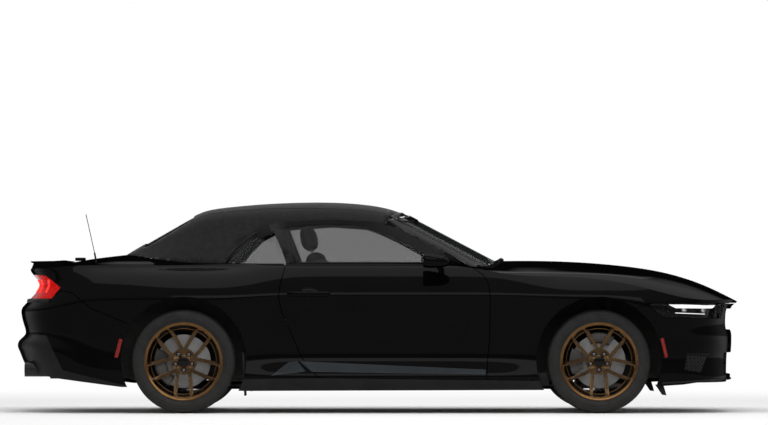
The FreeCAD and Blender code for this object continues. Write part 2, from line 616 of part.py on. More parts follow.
def front_grilles(forms):
    """Two barred plates that stand in the bumper's openings."""
    pieces = []
    layer = forms.rest.cut(body_solid(PANEL_WALL + SEAT_GAP + GRILLE_DEPTH, OVERRUN))
    for half, low, high in ((UPPER_GRILLE_HALF, UPPER_GRILLE_LOW, UPPER_GRILLE_HIGH),
                            (LOWER_GRILLE_HALF, LOWER_GRILLE_LOW, LOWER_GRILLE_HIGH)):
        reach = half + GRILLE_BAR
        plate = layer.common(box(FRONT_AXLE_X, OVERALL_LENGTH, -reach, reach, low - GRILLE_BAR,
                                 high + GRILLE_BAR))
        pitch_y = 2 * half / GRILLE_COLUMNS
        pitch_z = (high - low) / GRILLE_ROWS
        holes = []
        for i in range(GRILLE_COLUMNS):
            for j in range(GRILLE_ROWS):
                y = -half + pitch_y * i
                z = low + pitch_z * j
                holes.append(box(FRONT_AXLE_X, OVERALL_LENGTH, y + GRILLE_BAR / 2,
                                 y + pitch_y - GRILLE_BAR / 2,
                                 z + GRILLE_BAR / 2, z + pitch_z - GRILLE_BAR / 2))
        pieces.append(plate.cut(holes))
    return main_solids(Part.makeCompound(pieces))


TIP_RADIUS = 46.0
TIP_HEIGHT = 283.0
TIP_GAP = 10.0
PLATE_HOLE_SPACING = 177.8
PLATE_HOLE_RADIUS = 3.0
PLATE_HOLE_Z = 610.0


def rear_bumper(forms):
    skin = forms.shell.common(through(outline(REAR_BUMPER_PX)))
    holes = [Part.makeCylinder(TIP_RADIUS + TIP_GAP, OVERALL_LENGTH, Vector(-OVERALL_LENGTH, y, TIP_HEIGHT),
                               Vector(1, 0, 0)) for y in tip_places()]
    for y in (-PLATE_HOLE_SPACING / 2, PLATE_HOLE_SPACING / 2):
        holes.append(Part.makeCylinder(PLATE_HOLE_RADIUS, OVERALL_LENGTH,
                                       Vector(-OVERALL_LENGTH, y, PLATE_HOLE_Z),
                                       Vector(1, 0, 0)))
    return main_solids(skin.cut([forms.arches, forms.rear_bumper_band, forms.tail_lamp_space] + holes))


def headlamps(forms):
    lens = forms.right_outer.cut(forms.deep).common(forms.headlamp_space)
    return with_left(main_solids(lens.cut(forms.bumper_band)))


def tail_lamps(forms):
    return with_left(main_solids(forms.right_outer.cut(forms.deep).common(forms.tail_lamp_space)))


SPLITTER_PX = 382.5


def front_splitter(forms):
    """The plate along the bumper's lower edge."""
    low = height(SPLITTER_PX)
    plate = forms.inner.common(box(FRONT_AXLE_X + ARCH_RADIUS, OVERALL_LENGTH, -HALF_WIDTH, HALF_WIDTH,
                                   low, low + FLOOR_WALL))
    return main_solids(plate)


DOOR_FOOT_PX = 378.4


def right_door(forms):
    """The door is as thick as the side of the cabin, with a thinner lip round its edges."""
    whole = forms.right_outer.common(forms.door_space).common(right_beyond(CABIN_HALF_WIDTH))
    step = side_band(outline(DOOR_REAR_EDGE_PX + DOOR_FRONT_EDGE_PX), DOOR_LIP * 2).common(forms.right_inner)
    sill = box(-OVERALL_LENGTH, OVERALL_LENGTH, -HALF_WIDTH, 0, 0, height(DOOR_FOOT_PX) + DOOR_LIP)
    return main_solids(whole.cut([forms.door_band, forms.skirt_band, step, sill.common(forms.right_inner)]))


DOOR_HINGE_LOWS = (420.0, 640.0)
DOOR_HINGE_HEIGHT = 60.0
DOOR_HINGE_OUTER = 845.0


def door_frames(forms):
    """The strips round the door openings, with the hinge blocks that reach to the doors' front faces."""
    edges = outline(DOOR_REAR_EDGE_PX + DOOR_FRONT_EDGE_PX)
    wide = side_band(edges, (JAMB_WALL + JAMB_GAP) * 2).fuse(side_band(
        outline(SKIRT_TOP_PX[1:3]), (JAMB_WALL + JAMB_GAP) * 2))
    near = side_band(edges, JAMB_GAP * 2).fuse(side_band(outline(SKIRT_TOP_PX[1:3]), JAMB_GAP * 2))
    strips = wide.common(forms.right_inner).common(right_beyond(CABIN_HALF_WIDTH - JAMB_WALL))
    frame = strips.cut([near, forms.door_space, forms.arches])
    beside = side_band(outline(DOOR_FRONT_EDGE_PX), (DOOR_LIP - SEAT_GAP) * 2)
    door_body = forms.door_space.cut(beside)
    hinges = []
    for low in DOOR_HINGE_LOWS:
        zone = box(0, OVERALL_LENGTH, -DOOR_HINGE_OUTER, -CABIN_HALF_WIDTH - JAMB_WALL, low,
                   low + DOOR_HINGE_HEIGHT)
        hinges.append(side_band(outline(DOOR_FRONT_EDGE_PX),
                                (JAMB_WALL + JAMB_GAP) * 2).common(zone).cut(door_body))
    return with_left(main_solids(frame.fuse(hinges)))


# Canopy of the closed fabric top. Each station has the photograph column and row of the ridge, and the half
# width and row of the canopy's foot. The section shares run from the ridge to below the foot: width, and
# height between the two.
CANOPY_STATION_SHARES = [
    (108, 266.0, 0.05, 270.0), (120, 260.0, 0.28, 268.0), (133, 252.2, 0.46, 266.0),
    (150, 242.5, 0.61, 264.5), (170, 231.2, 0.69, 263.5), (190, 219.6, 0.745, 263.0),
    (206, 211.4, 0.775, 263.0), (225, 208.8, 0.800, 263.5), (250, 206.3, 0.825, 264.0),
    (280, 204.2, 0.845, 265.0), (330, 203.0, 0.852, 265.5), (370, 205.8, 0.852, 266.0),
    (395, 211.0, 0.852, 266.5), (420, 222.2, 0.853, 267.0), (450, 237.0, 0.852, 267.5),
    (480, 252.0, 0.850, 268.0), (505, 264.0, 0.850, 270.0)]
CANOPY_SECTION_SHARES = [
    (0.00, 1.00), (0.26, 1.00), (0.48, 0.965), (0.62, 0.895), (0.705, 0.79), (0.745, 0.67), (0.825, 0.45),
    (0.915, 0.22), (1.00, 0.0), (1.09, -0.25)]
CANOPY_LEAN_SHARE = 0.8


def canopy_solid(inset):
    """The space below the canopy, with its surface moved inwards by inset."""
    poles = []
    for px, ridge_py, foot_share, foot_py in CANOPY_STATION_SHARES:
        foot = foot_share * HALF_WIDTH
        x, ridge_z = at(px, ridge_py, 0.0)
        foot_z = height(foot_py, -foot)
        right = []
        for across, up in CANOPY_SECTION_SHARES:
            lean = min(across / CANOPY_SECTION_SHARES[4][0], 1.0) * CANOPY_LEAN_SHARE * inset
            right.append((-(foot * across) + lean, blend(foot_z, ridge_z, up) - inset))
        line = [Vector(x, -y, z) for y, z in right[:0:-1]] + [Vector(x, y, z) for y, z in right]
        poles.append(line)
    return cubic_surface(poles).toShape().extrude(Vector(0, 0, -OVERALL_HEIGHT))


# Openings in the canopy
SIDE_WINDOW_PX = [
    (226, 262), (237, 248.7), (255, 234.6), (270.4, 228.3), (288, 224.4), (331.6, 221.9), (370, 224.0),
    (387.8, 228.0), (406.3, 234), (429.2, 246), (444.5, 255.5), (464, 268.0), (464, 285), (226, 285)]
DOOR_GLASS_PX = [
    (283.2, 227.8), (288, 226.4), (331.6, 223.9), (368, 226.0), (381.0, 229.8), (400.3, 238), (424.2, 250),
    (440.5, 260.5), (455, 270.5), (455, 285), (297, 285), (296.5, 262)]
QUARTER_GLASS_PX = [
    (226, 262), (237, 248.7), (255, 234.6), (270.4, 228.3), (281.5, 225.9), (295, 262), (295, 285),
    (226, 285)]
REAR_WINDOW_PLAN_SHARES = [
    (-0.505, 0.0), (-0.505, -0.40), (-0.512, -0.43), (-0.530, -0.45), (-0.610, -0.45), (-0.632, -0.43),
    (-0.642, -0.39), (-0.642, 0.0)]
TOP_FRONT_PLAN_SHARES = [
    (-1.0, 0.0), (-1.0, -1.0), (0.010, -1.0), (0.020, -0.62), (0.034, -0.54), (0.052, -0.40), (0.066, -0.20),
    (0.070, 0.0)]
CANOPY_SIDE_SHARE = 0.72


def side_window_cut(points_px, half_inner):
    return through(outline(points_px, -HALF_WIDTH * CANOPY_SIDE_SHARE)).common(sides_beyond(half_inner))


TOP_FOOT_PX = 290.0
CANOPY_RAIL_INNER = 300.0
GLASS_DEPTH = 6.0


def soft_top(forms):
    shell = canopy_solid(0.0).cut(canopy_solid(TOP_WALL))
    front = plan_prism(plan_points(TOP_FRONT_PLAN_SHARES), height(TOP_FOOT_PX), OVERALL_HEIGHT + OVERRUN)
    rear_window = plan_prism(plan_points(REAR_WINDOW_PLAN_SHARES), 0, OVERALL_HEIGHT + OVERRUN)
    side_window = side_window_cut(SIDE_WINDOW_PX, CANOPY_RAIL_INNER)
    doors = forms.door_space.common(sides_beyond(CABIN_HALF_WIDTH))
    return main_solids(shell.common(front).cut([rear_window, side_window, forms.outer, doors]))


def canopy_glass(points_px, forms):
    """The right-hand pane that fills an outline in the canopy's side."""
    pane = forms.pane.common(forms.right_half)
    return main_solids(pane.common(side_window_cut(points_px, CANOPY_RAIL_INNER)).cut(forms.right_outer))


def rear_window(forms):
    return main_solids(forms.pane.common(plan_prism(plan_points(REAR_WINDOW_PLAN_SHARES), 0,
                                              OVERALL_HEIGHT + OVERRUN)))


# Windscreen: rows of poles from the foot to the header, each as shares (along, across, up) of the half
# length, half width and height
WINDSCREEN_POLE_SHARES = [

    [(0.352, 0.0, 0.704), (0.350, 0.20, 0.703), (0.340, 0.42, 0.701), (0.322, 0.60, 0.698),
     (0.296, 0.730, 0.694), (0.268, 0.800, 0.690)],
    [(0.265, 0.0, 0.782), (0.263, 0.18, 0.781), (0.253, 0.38, 0.779), (0.237, 0.56, 0.776),
     (0.214, 0.680, 0.770), (0.189, 0.743, 0.763)],
    [(0.179, 0.0, 0.861), (0.177, 0.17, 0.860), (0.168, 0.35, 0.857), (0.152, 0.515, 0.852),
     (0.131, 0.630, 0.845), (0.110, 0.687, 0.837)],
    [(0.092, 0.0, 0.939), (0.090, 0.15, 0.938), (0.082, 0.33, 0.934), (0.067, 0.47, 0.928),
     (0.049, 0.580, 0.919), (0.030, 0.630, 0.910)]]
SCREEN_FRAME_WALL = 30.0
SCREEN_LEAN = 26.3
SCREEN_NORMAL = (math.sin(math.radians(SCREEN_LEAN)), 0.0, math.cos(math.radians(SCREEN_LEAN)))


def screen_poles(drop):
    rows = []
    for row in WINDSCREEN_POLE_SHARES:
        points = []
        for along_share, across, up in row:
            points.append(Vector(along_share * OVERALL_LENGTH / 2 - SCREEN_NORMAL[0] * drop,
                                 -across * HALF_WIDTH,
                                 up * OVERALL_HEIGHT - SCREEN_NORMAL[2] * drop))
        rows.append([Vector(p.x, -p.y, p.z) for p in points[:0:-1]] + points)
    return rows


def screen_layer(drop, wall):
    face = cubic_surface(screen_poles(drop)).toShape()
    return face.extrude(Vector(-SCREEN_NORMAL[0] * wall, 0, -SCREEN_NORMAL[2] * wall))


SCREEN_GLASS_PLAN_SHARES = [
    (0.340, 0.0), (0.338, -0.200), (0.328, -0.420), (0.310, -0.590), (0.285, -0.700), (0.262, -0.737),
    (0.189, -0.680), (0.110, -0.624), (0.045, -0.578), (0.068, -0.560), (0.092, -0.450), (0.105, -0.330),
    (0.113, -0.150), (0.115, 0.0)]


def screen_opening():
    """The space over the windscreen's glass."""
    return plan_prism(plan_points(SCREEN_GLASS_PLAN_SHARES), FLOOR_BOTTOM, OVERALL_HEIGHT + OVERRUN)


def windscreen(forms):
    pane = screen_layer(GLASS_DEPTH, GLASS_WALL).common(screen_opening())
    return main_solids(pane.cut(forms.outer))


def windscreen_frame(forms):
    """The pillars, the header and the foot of the windscreen in one ring."""
    ring = screen_layer(0.0, SCREEN_FRAME_WALL).cut([screen_opening(), forms.outer])
    return ring


SEAT_PX = [
    (336, 345), (415, 345), (418, 336), (413, 331), (360, 337), (343, 333), (333, 310), (322, 272),
    (318, 258), (306, 257), (303, 264), (307, 290), (315, 320), (324, 342)]
HEADREST_PX = [(297, 229), (307, 227), (312, 240), (314, 262), (304, 262), (299, 245)]
SEAT_HALF_WIDTH = 255.0
HEADREST_HALF_WIDTH = 135.0


def seat_shape(y):
    """One front seat, with its back and head restraint, above its frame."""
    side = [(x, z) for x, z in outline(SEAT_PX, y)]
    core = side_prism(side, y - SEAT_HALF_WIDTH, y + SEAT_HALF_WIDTH)
    head = side_prism(outline(HEADREST_PX, y), y - HEADREST_HALF_WIDTH, y + HEADREST_HALF_WIDTH)
    return core.fuse(head)


SEAT_Y = 372.0


def front_seats():
    return with_left(seat_shape(-SEAT_Y))


SEAT_FRAME_INSET = 30.0
SEAT_FRAME_HALF = 190.0
SEAT_FRAME_WALL = 30.0


def seat_frames():
    """The low frames that carry the front seats on the floor."""
    points = outline([SEAT_PX[0], SEAT_PX[1]], -SEAT_Y)
    low = FLOOR_BOTTOM + FLOOR_WALL + SEAT_GAP
    frame = box(points[0][0] + SEAT_FRAME_INSET, points[1][0] - SEAT_FRAME_INSET, -SEAT_Y - SEAT_FRAME_HALF,
                -SEAT_Y + SEAT_FRAME_HALF, low, points[0][1] - SEAT_GAP)
    way = box(-OVERALL_LENGTH, OVERALL_LENGTH, -SEAT_Y - SEAT_FRAME_HALF + SEAT_FRAME_WALL,
              -SEAT_Y + SEAT_FRAME_HALF - SEAT_FRAME_WALL, low, points[0][1] - SEAT_FRAME_WALL)
    return with_left(frame.cut(way))


REAR_SEAT_PX = [
    (233, 344), (296, 344), (298, 334), (294, 330), (262, 336), (246, 330), (232, 276), (216, 274),
    (214, 282)]
REAR_SEAT_HALF = 545.0


def rear_seat():
    """The rear bench, fitted to the bulkhead behind it and to the boot's floor under its back."""
    bench = side_prism(outline(REAR_SEAT_PX, 0.0), -REAR_SEAT_HALF, REAR_SEAT_HALF)
    behind = box(-OVERALL_LENGTH, BULKHEAD_X + FLOOR_WALL + SEAT_GAP, -HALF_WIDTH, HALF_WIDTH, 0,
                 OVERALL_HEIGHT)
    below = box(-OVERALL_LENGTH, FLOOR_REAR + SEAT_GAP, -HALF_WIDTH, HALF_WIDTH, 0,
                BOOT_FLOOR + FLOOR_WALL + SEAT_GAP)
    return main_solids(bench.cut([behind, below]))


DASH_PX = [
    (468, 268.5), (500, 267), (500, 330), (487, 340), (470, 338), (452, 306), (447, 290), (449, 276),
    (455, 270)]
DASH_HALF = 765.0
CONSOLE_PX = [(330, 372), (330, 342), (352, 338), (395, 341), (430, 336), (452, 318), (478, 322), (478, 372)]
CONSOLE_HALF = 105.0


def dashboard(forms):
    board = side_prism(outline(DASH_PX, 0.0), -DASH_HALF, DASH_HALF)
    console = side_prism(outline(CONSOLE_PX, 0.0), -CONSOLE_HALF, CONSOLE_HALF)
    whole = board.fuse(console)
    floor = box(-OVERALL_LENGTH, OVERALL_LENGTH, -HALF_WIDTH, HALF_WIDTH, -OVERRUN,
                FLOOR_BOTTOM + FLOOR_WALL)
    bay = box(FIREWALL_X, OVERALL_LENGTH, -HALF_WIDTH, HALF_WIDTH, 0, OVERALL_HEIGHT)
    return main_solids(whole.common(forms.inner).cut([floor, bay, forms.underbody, forms.frames]))


STEERING_WHEEL_RADIUS = 178.0
STEERING_RIM_RADIUS = 15.0
STEERING_Y = 372.0
STEERING_X = 395.0
STEERING_Z = 880.0
STEERING_TILT = 24.0
STEERING_HUB_RADIUS = 55.0
STEERING_HUB_WALL = 40.0
STEERING_SPOKE_RADIUS = 7.0


def steering_axis():
    """The direction of the steering column, towards the driver."""
    tilt = math.radians(STEERING_TILT)
    return Vector(-math.cos(tilt), 0, math.sin(tilt))


def steering_wheel():
    centre = Vector(STEERING_X, STEERING_Y, STEERING_Z)
    axis = steering_axis()
    rim = Part.makeTorus(STEERING_WHEEL_RADIUS, STEERING_RIM_RADIUS, centre, axis)
    hub = Part.makeCylinder(STEERING_HUB_RADIUS, STEERING_HUB_WALL, centre - axis * STEERING_HUB_WALL, axis)
    across = Vector(0, 1, 0)
    down = axis.cross(across)
    wheel = rim.fuse(hub)
    for way in (across, across * -1, down if down.z < 0 else down * -1):
        spoke = Part.makeCylinder(STEERING_SPOKE_RADIUS, STEERING_WHEEL_RADIUS,
                                  centre - axis * STEERING_RIM_RADIUS / 2,
                                  way)
        wheel = wheel.fuse(spoke)
    return wheel


COLUMN_SHARE = 0.7
COLUMN_LENGTH = 300.0


def steering_column(forms):
    centre = Vector(STEERING_X, STEERING_Y, STEERING_Z)
    axis = steering_axis()
    start = centre - axis * (STEERING_HUB_WALL + SEAT_GAP)
    column = Part.makeCylinder(STEERING_HUB_RADIUS * COLUMN_SHARE, COLUMN_LENGTH, start, axis * -1)
    return main_solids(column.cut(forms.dashboard))


def export(name, shape):
    os.makedirs("parts", exist_ok=True)
    shape.exportStep(os.path.join("parts", name + ".step"))


# Underbody
FRONT_RAIL_INNER = 380.0
RAIL_WIDTH = 80.0
RAIL_LOW = 330.0
RAIL_HEIGHT = 90.0
REAR_RAIL_INNER = 520.0
FIREWALL_X = 800.0
FIREWALL_TOP = 905.0
RADIATOR_X = 2070.0
BULKHEAD_X = -1090.0
BULKHEAD_TOP = 930.0
BOOT_FLOOR = 430.0
FRONT_RAIL_END = 2215.0
REAR_RAIL_END = -2215.0
FLOOR_HALF = 905.0
FLOOR_FRONT = 1010.0
FLOOR_REAR = -850.0
BOOT_WALL_HALF = 600.0
BONNET_POST_Y = 520.0
BOOT_POST_X = -1870.0
POST_WIDTH = 50.0
JACK_PAD_PLACES = (620.0, -640.0)
JACK_PAD_Y = 780.0
JACK_PAD_HALF = 40.0
JACK_PAD_DROP = 15.0


def underbody(forms):
    """The floor, the rails, the firewall and the boot's tub in one welded piece."""
    top = FLOOR_BOTTOM + FLOOR_WALL
    pieces = [
        box(FLOOR_REAR, FLOOR_FRONT, -FLOOR_HALF, FLOOR_HALF, FLOOR_BOTTOM, top),
        box(FIREWALL_X, FIREWALL_X + FLOOR_WALL, -CABIN_HALF_WIDTH, CABIN_HALF_WIDTH, FLOOR_BOTTOM,
            FIREWALL_TOP),
        box(BULKHEAD_X, BULKHEAD_X + FLOOR_WALL, -BOOT_WALL_HALF, BOOT_WALL_HALF, BOOT_FLOOR, BULKHEAD_TOP),
        box(FLOOR_REAR - FLOOR_WALL, FLOOR_REAR, -BOOT_WALL_HALF, BOOT_WALL_HALF, FLOOR_BOTTOM,
            BOOT_FLOOR + FLOOR_WALL),
        box(REAR_RAIL_END, FLOOR_REAR, -BOOT_WALL_HALF, BOOT_WALL_HALF, BOOT_FLOOR, BOOT_FLOOR + FLOOR_WALL)]
    for side in (-1, 1):
        front = sorted((side * FRONT_RAIL_INNER, side * (FRONT_RAIL_INNER + RAIL_WIDTH)))
        rear = sorted((side * REAR_RAIL_INNER, side * (REAR_RAIL_INNER + RAIL_WIDTH)))
        wall = sorted((side * BOOT_WALL_HALF, side * (BOOT_WALL_HALF + FLOOR_WALL)))
        pieces.append(box(FIREWALL_X, FRONT_RAIL_END, front[0], front[1], RAIL_LOW, RAIL_LOW + RAIL_HEIGHT))
        pieces.append(box(REAR_RAIL_END, FLOOR_REAR, rear[0], rear[1], BOOT_FLOOR - RAIL_HEIGHT, BOOT_FLOOR))
        pieces.append(box(REAR_RAIL_END, BULKHEAD_X, wall[0], wall[1], BOOT_FLOOR - RAIL_HEIGHT,
                          BULKHEAD_TOP))
        pieces.append(box(BULKHEAD_X, FLOOR_REAR + FLOOR_WALL, wall[0], wall[1], FLOOR_BOTTOM, BULKHEAD_TOP))
    seat_x0, seat_z = at(*REAR_SEAT_PX[0], 0.0)
    seat_x1 = along(REAR_SEAT_PX[1][0], 0.0)
    pan = seat_z - SEAT_GAP
    pieces.append(box(FLOOR_REAR, seat_x1, -REAR_SEAT_HALF, REAR_SEAT_HALF, pan - FLOOR_WALL, pan))
    pieces.append(box(seat_x1 - FLOOR_WALL, seat_x1, -REAR_SEAT_HALF, REAR_SEAT_HALF, FLOOR_BOTTOM, pan))
    for side in (-1, 1):
        post = sorted((side * BONNET_POST_Y, side * (BONNET_POST_Y + POST_WIDTH)))
        pieces.append(box(FIREWALL_X, FIREWALL_X + FLOOR_WALL, post[0], post[1], FIREWALL_TOP - POST_WIDTH,
                          OVERALL_HEIGHT))
        wall = sorted((side * BOOT_WALL_HALF, side * (BOOT_WALL_HALF + FLOOR_WALL)))
        pieces.append(box(BOOT_POST_X, BOOT_POST_X + POST_WIDTH, wall[0], wall[1], BULKHEAD_TOP - POST_WIDTH,
                          OVERALL_HEIGHT))
    for x in JACK_PAD_PLACES:
        for y in (-JACK_PAD_Y, JACK_PAD_Y):
            pieces.append(box(x - JACK_PAD_HALF, x + JACK_PAD_HALF, y - JACK_PAD_HALF, y + JACK_PAD_HALF,
                              FLOOR_BOTTOM - JACK_PAD_DROP, top))
    frame = pieces[0].fuse(pieces[1:])
    spaces = [forms.wells, forms.frames, forms.tail_lamp_space] + forms.axle_ways
    return main_solids(frame.common(forms.rest).cut(spaces).removeSplitter())


LINER_LOW = 225.0


def wheel_arch_liners(forms):
    """Thin wells over the wheels, with their inner walls."""
    wells = arch_cylinders(LINER_RADIUS, FRONT_WELL_INNER - LINER_WALL, REAR_WELL_INNER - LINER_WALL,
                           ARCH_LIFT)
    inside = arch_cylinders(LINER_RADIUS - LINER_WALL, FRONT_WELL_INNER, REAR_WELL_INNER, ARCH_LIFT)
    lows = []
    for axle_x in (FRONT_AXLE_X, REAR_AXLE_X):
        lows.append(box(axle_x - LINER_RADIUS, axle_x + LINER_RADIUS, -HALF_WIDTH, HALF_WIDTH, 0, LINER_LOW))
    return main_solids(wells.common(forms.inner).cut([inside, forms.underbody] + lows + forms.axle_ways))


# Engine, cooling and exhaust
ENGINE_FRONT = 1790.0
ENGINE_REAR = 1130.0
ENGINE_HALF = 300.0
ENGINE_LOW = 300.0
ENGINE_TOP = 800.0
RADIATOR_WALL = 45.0
RADIATOR_TOP = 690.0
PIPE_RADIUS = 27.0
PIPE_Y = 190.0
PIPE_Z = 175.0
MUFFLER_LENGTH = 380.0
MUFFLER_WIDTH = 260.0
MUFFLER_HEIGHT = 115.0
MUFFLER_REAR = -2150.0
MUFFLER_Y = 570.0
TIP_WALL = 3.0
TIP_SPACING = 108.0
TIP_END = -2322.0


def tip_places():
    return [side * (MUFFLER_Y + step * TIP_SPACING / 2) for side in (-1, 1) for step in (-1, 1)]


MOUNT_LENGTH = 120.0


def engine():
    """The engine and gearbox as one block, on its rails."""
    block = box(ENGINE_REAR, ENGINE_FRONT, -ENGINE_HALF, ENGINE_HALF, ENGINE_LOW, ENGINE_TOP)
    gearbox = box(FIREWALL_X + FLOOR_WALL, ENGINE_REAR, -ENGINE_HALF / 2, ENGINE_HALF / 2, ENGINE_LOW,
                  (ENGINE_LOW + ENGINE_TOP) / 2)
    mount = box(ENGINE_FRONT - MOUNT_LENGTH * 2, ENGINE_FRONT - MOUNT_LENGTH, -FRONT_RAIL_INNER,
                FRONT_RAIL_INNER,
                RAIL_LOW, RAIL_LOW + RAIL_HEIGHT)
    return block.fuse([gearbox, mount])


def radiator():
    return box(RADIATOR_X, RADIATOR_X + RADIATOR_WALL, -FRONT_RAIL_INNER, FRONT_RAIL_INNER,
               RAIL_LOW - RAIL_HEIGHT,
               RADIATOR_TOP)


def bent_bar(points, radius, bend):
    """A round bar along straight runs that arcs of radius bend join."""
    points = [Vector(*point) for point in points]
    edges = []
    start = points[0]
    for before, corner, after in zip(points, points[1:], points[2:]):
        to_before = (before - corner).normalize()
        to_after = (after - corner).normalize()
        half = to_before.getAngle(to_after) / 2
        reach = bend / math.tan(half)
        middle = (to_before + to_after).normalize()
        first = corner + to_before * reach
        last = corner + to_after * reach
        top = corner + middle * (bend / math.sin(half) - bend)
        edges.append(Part.LineSegment(start, first).toShape())
        edges.append(Part.Arc(first, top, last).toShape())
        start = last
    edges.append(Part.LineSegment(start, points[-1]).toShape())
    section = Part.Wire(Part.Circle(points[0], points[1] - points[0], radius).toShape())
    return Part.Wire(edges).makePipeShell([section], True, False)


PIPE_BEND = 75.0
FRONT_FRAME_LENGTH = 240.0


def exhaust():
    pieces = []
    for side in (-1, 1):
        y = side * PIPE_Y
        drop = ENGINE_REAR + MOUNT_LENGTH
        tail = MUFFLER_REAR + MUFFLER_LENGTH
        muffler_top = BOOT_FLOOR - RAIL_HEIGHT - SEAT_GAP
        muffler_z = muffler_top - MUFFLER_HEIGHT / 2
        pipe = bent_bar([(drop, y, ENGINE_LOW - SEAT_GAP), (drop, y, PIPE_Z),
                         (REAR_AXLE_X - FRONT_FRAME_LENGTH / 2 - PIPE_BEND, y, PIPE_Z),
                         (tail + MOUNT_LENGTH / 2, side * MUFFLER_Y, muffler_z),
                         (tail - MOUNT_LENGTH / 2, side * MUFFLER_Y, muffler_z)], PIPE_RADIUS, PIPE_BEND)
        muffler = box(MUFFLER_REAR, tail, side * MUFFLER_Y - MUFFLER_WIDTH / 2,
                      side * MUFFLER_Y + MUFFLER_WIDTH / 2,
                      muffler_top - MUFFLER_HEIGHT, muffler_top)
        tubes = []
        for tip_y in tip_places():
            if tip_y * side > 0:
                start = Vector(TIP_END, tip_y, TIP_HEIGHT)
                length = MUFFLER_REAR - TIP_END
                tube = Part.makeCylinder(TIP_RADIUS, length, start, Vector(1, 0, 0))
                tubes.append(tube.cut(Part.makeCylinder(TIP_RADIUS - TIP_WALL, length, start,
                                                        Vector(1, 0, 0))))
        pieces.append(pipe.fuse([muffler] + tubes))
    return Part.makeCompound(pieces)


# Wheels. A wheel is made about its own centre with its outer face towards -Y.
LUG_COUNT = 5
LUG_CIRCLE_RADIUS = 57.15
LUG_RADIUS = 11.0
FLANGE_WIDTH = 8.0
FLANGE_LIP = 17.0
BEAD_WIDTH = 34.0
RIM_WALL = 8.0
WELL_DROP = 16.0
HUB_FACE = 42.0
HUB_RADIUS = 86.0
CAP_RADIUS = 34.0
SPOKE_FACE = 112.0
SPOKE_DEPTH = 40.0
SPOKE_ROOT_FACE = 92.0
SPOKE_TIP_WIDTH = 26.0
SPOKE_ROOT_WIDTH = 22.0
SPOKE_TIP_OFFSET = 55.0
SPOKE_ROOT_OFFSET = 40.0
TYRE_PROFILE_SHARES = [
    (0.484, 0.810), (0.500, 0.873), (0.484, 0.940), (0.430, 0.981), (0.340, 0.998), (0.120, 1.0)]


def spun(profile):
    """The ring whose section is the closed outline of (y, radius) points."""
    face = Part.Face(polygon([Vector(0, y, radius) for y, radius in profile]))
    return face.revolve(Vector(0, 0, 0), Vector(0, 1, 0), 360)


def tyre():
    foot = RIM_WIDTH / 2 - FLANGE_WIDTH - SEAT_GAP
    half = [(foot, RIM_RADIUS - FLANGE_LIP + SEAT_GAP), (foot, RIM_RADIUS)]
    half += [(y * TYRE_WIDTH, r * TYRE_RADIUS) for y, r in TYRE_PROFILE_SHARES]
    return spun([(-y, r) for y, r in half] + half[::-1])


SPOKE_START_SHARE = 0.75
CAP_RISE = 4.0
LUG_SEAT = 14.0


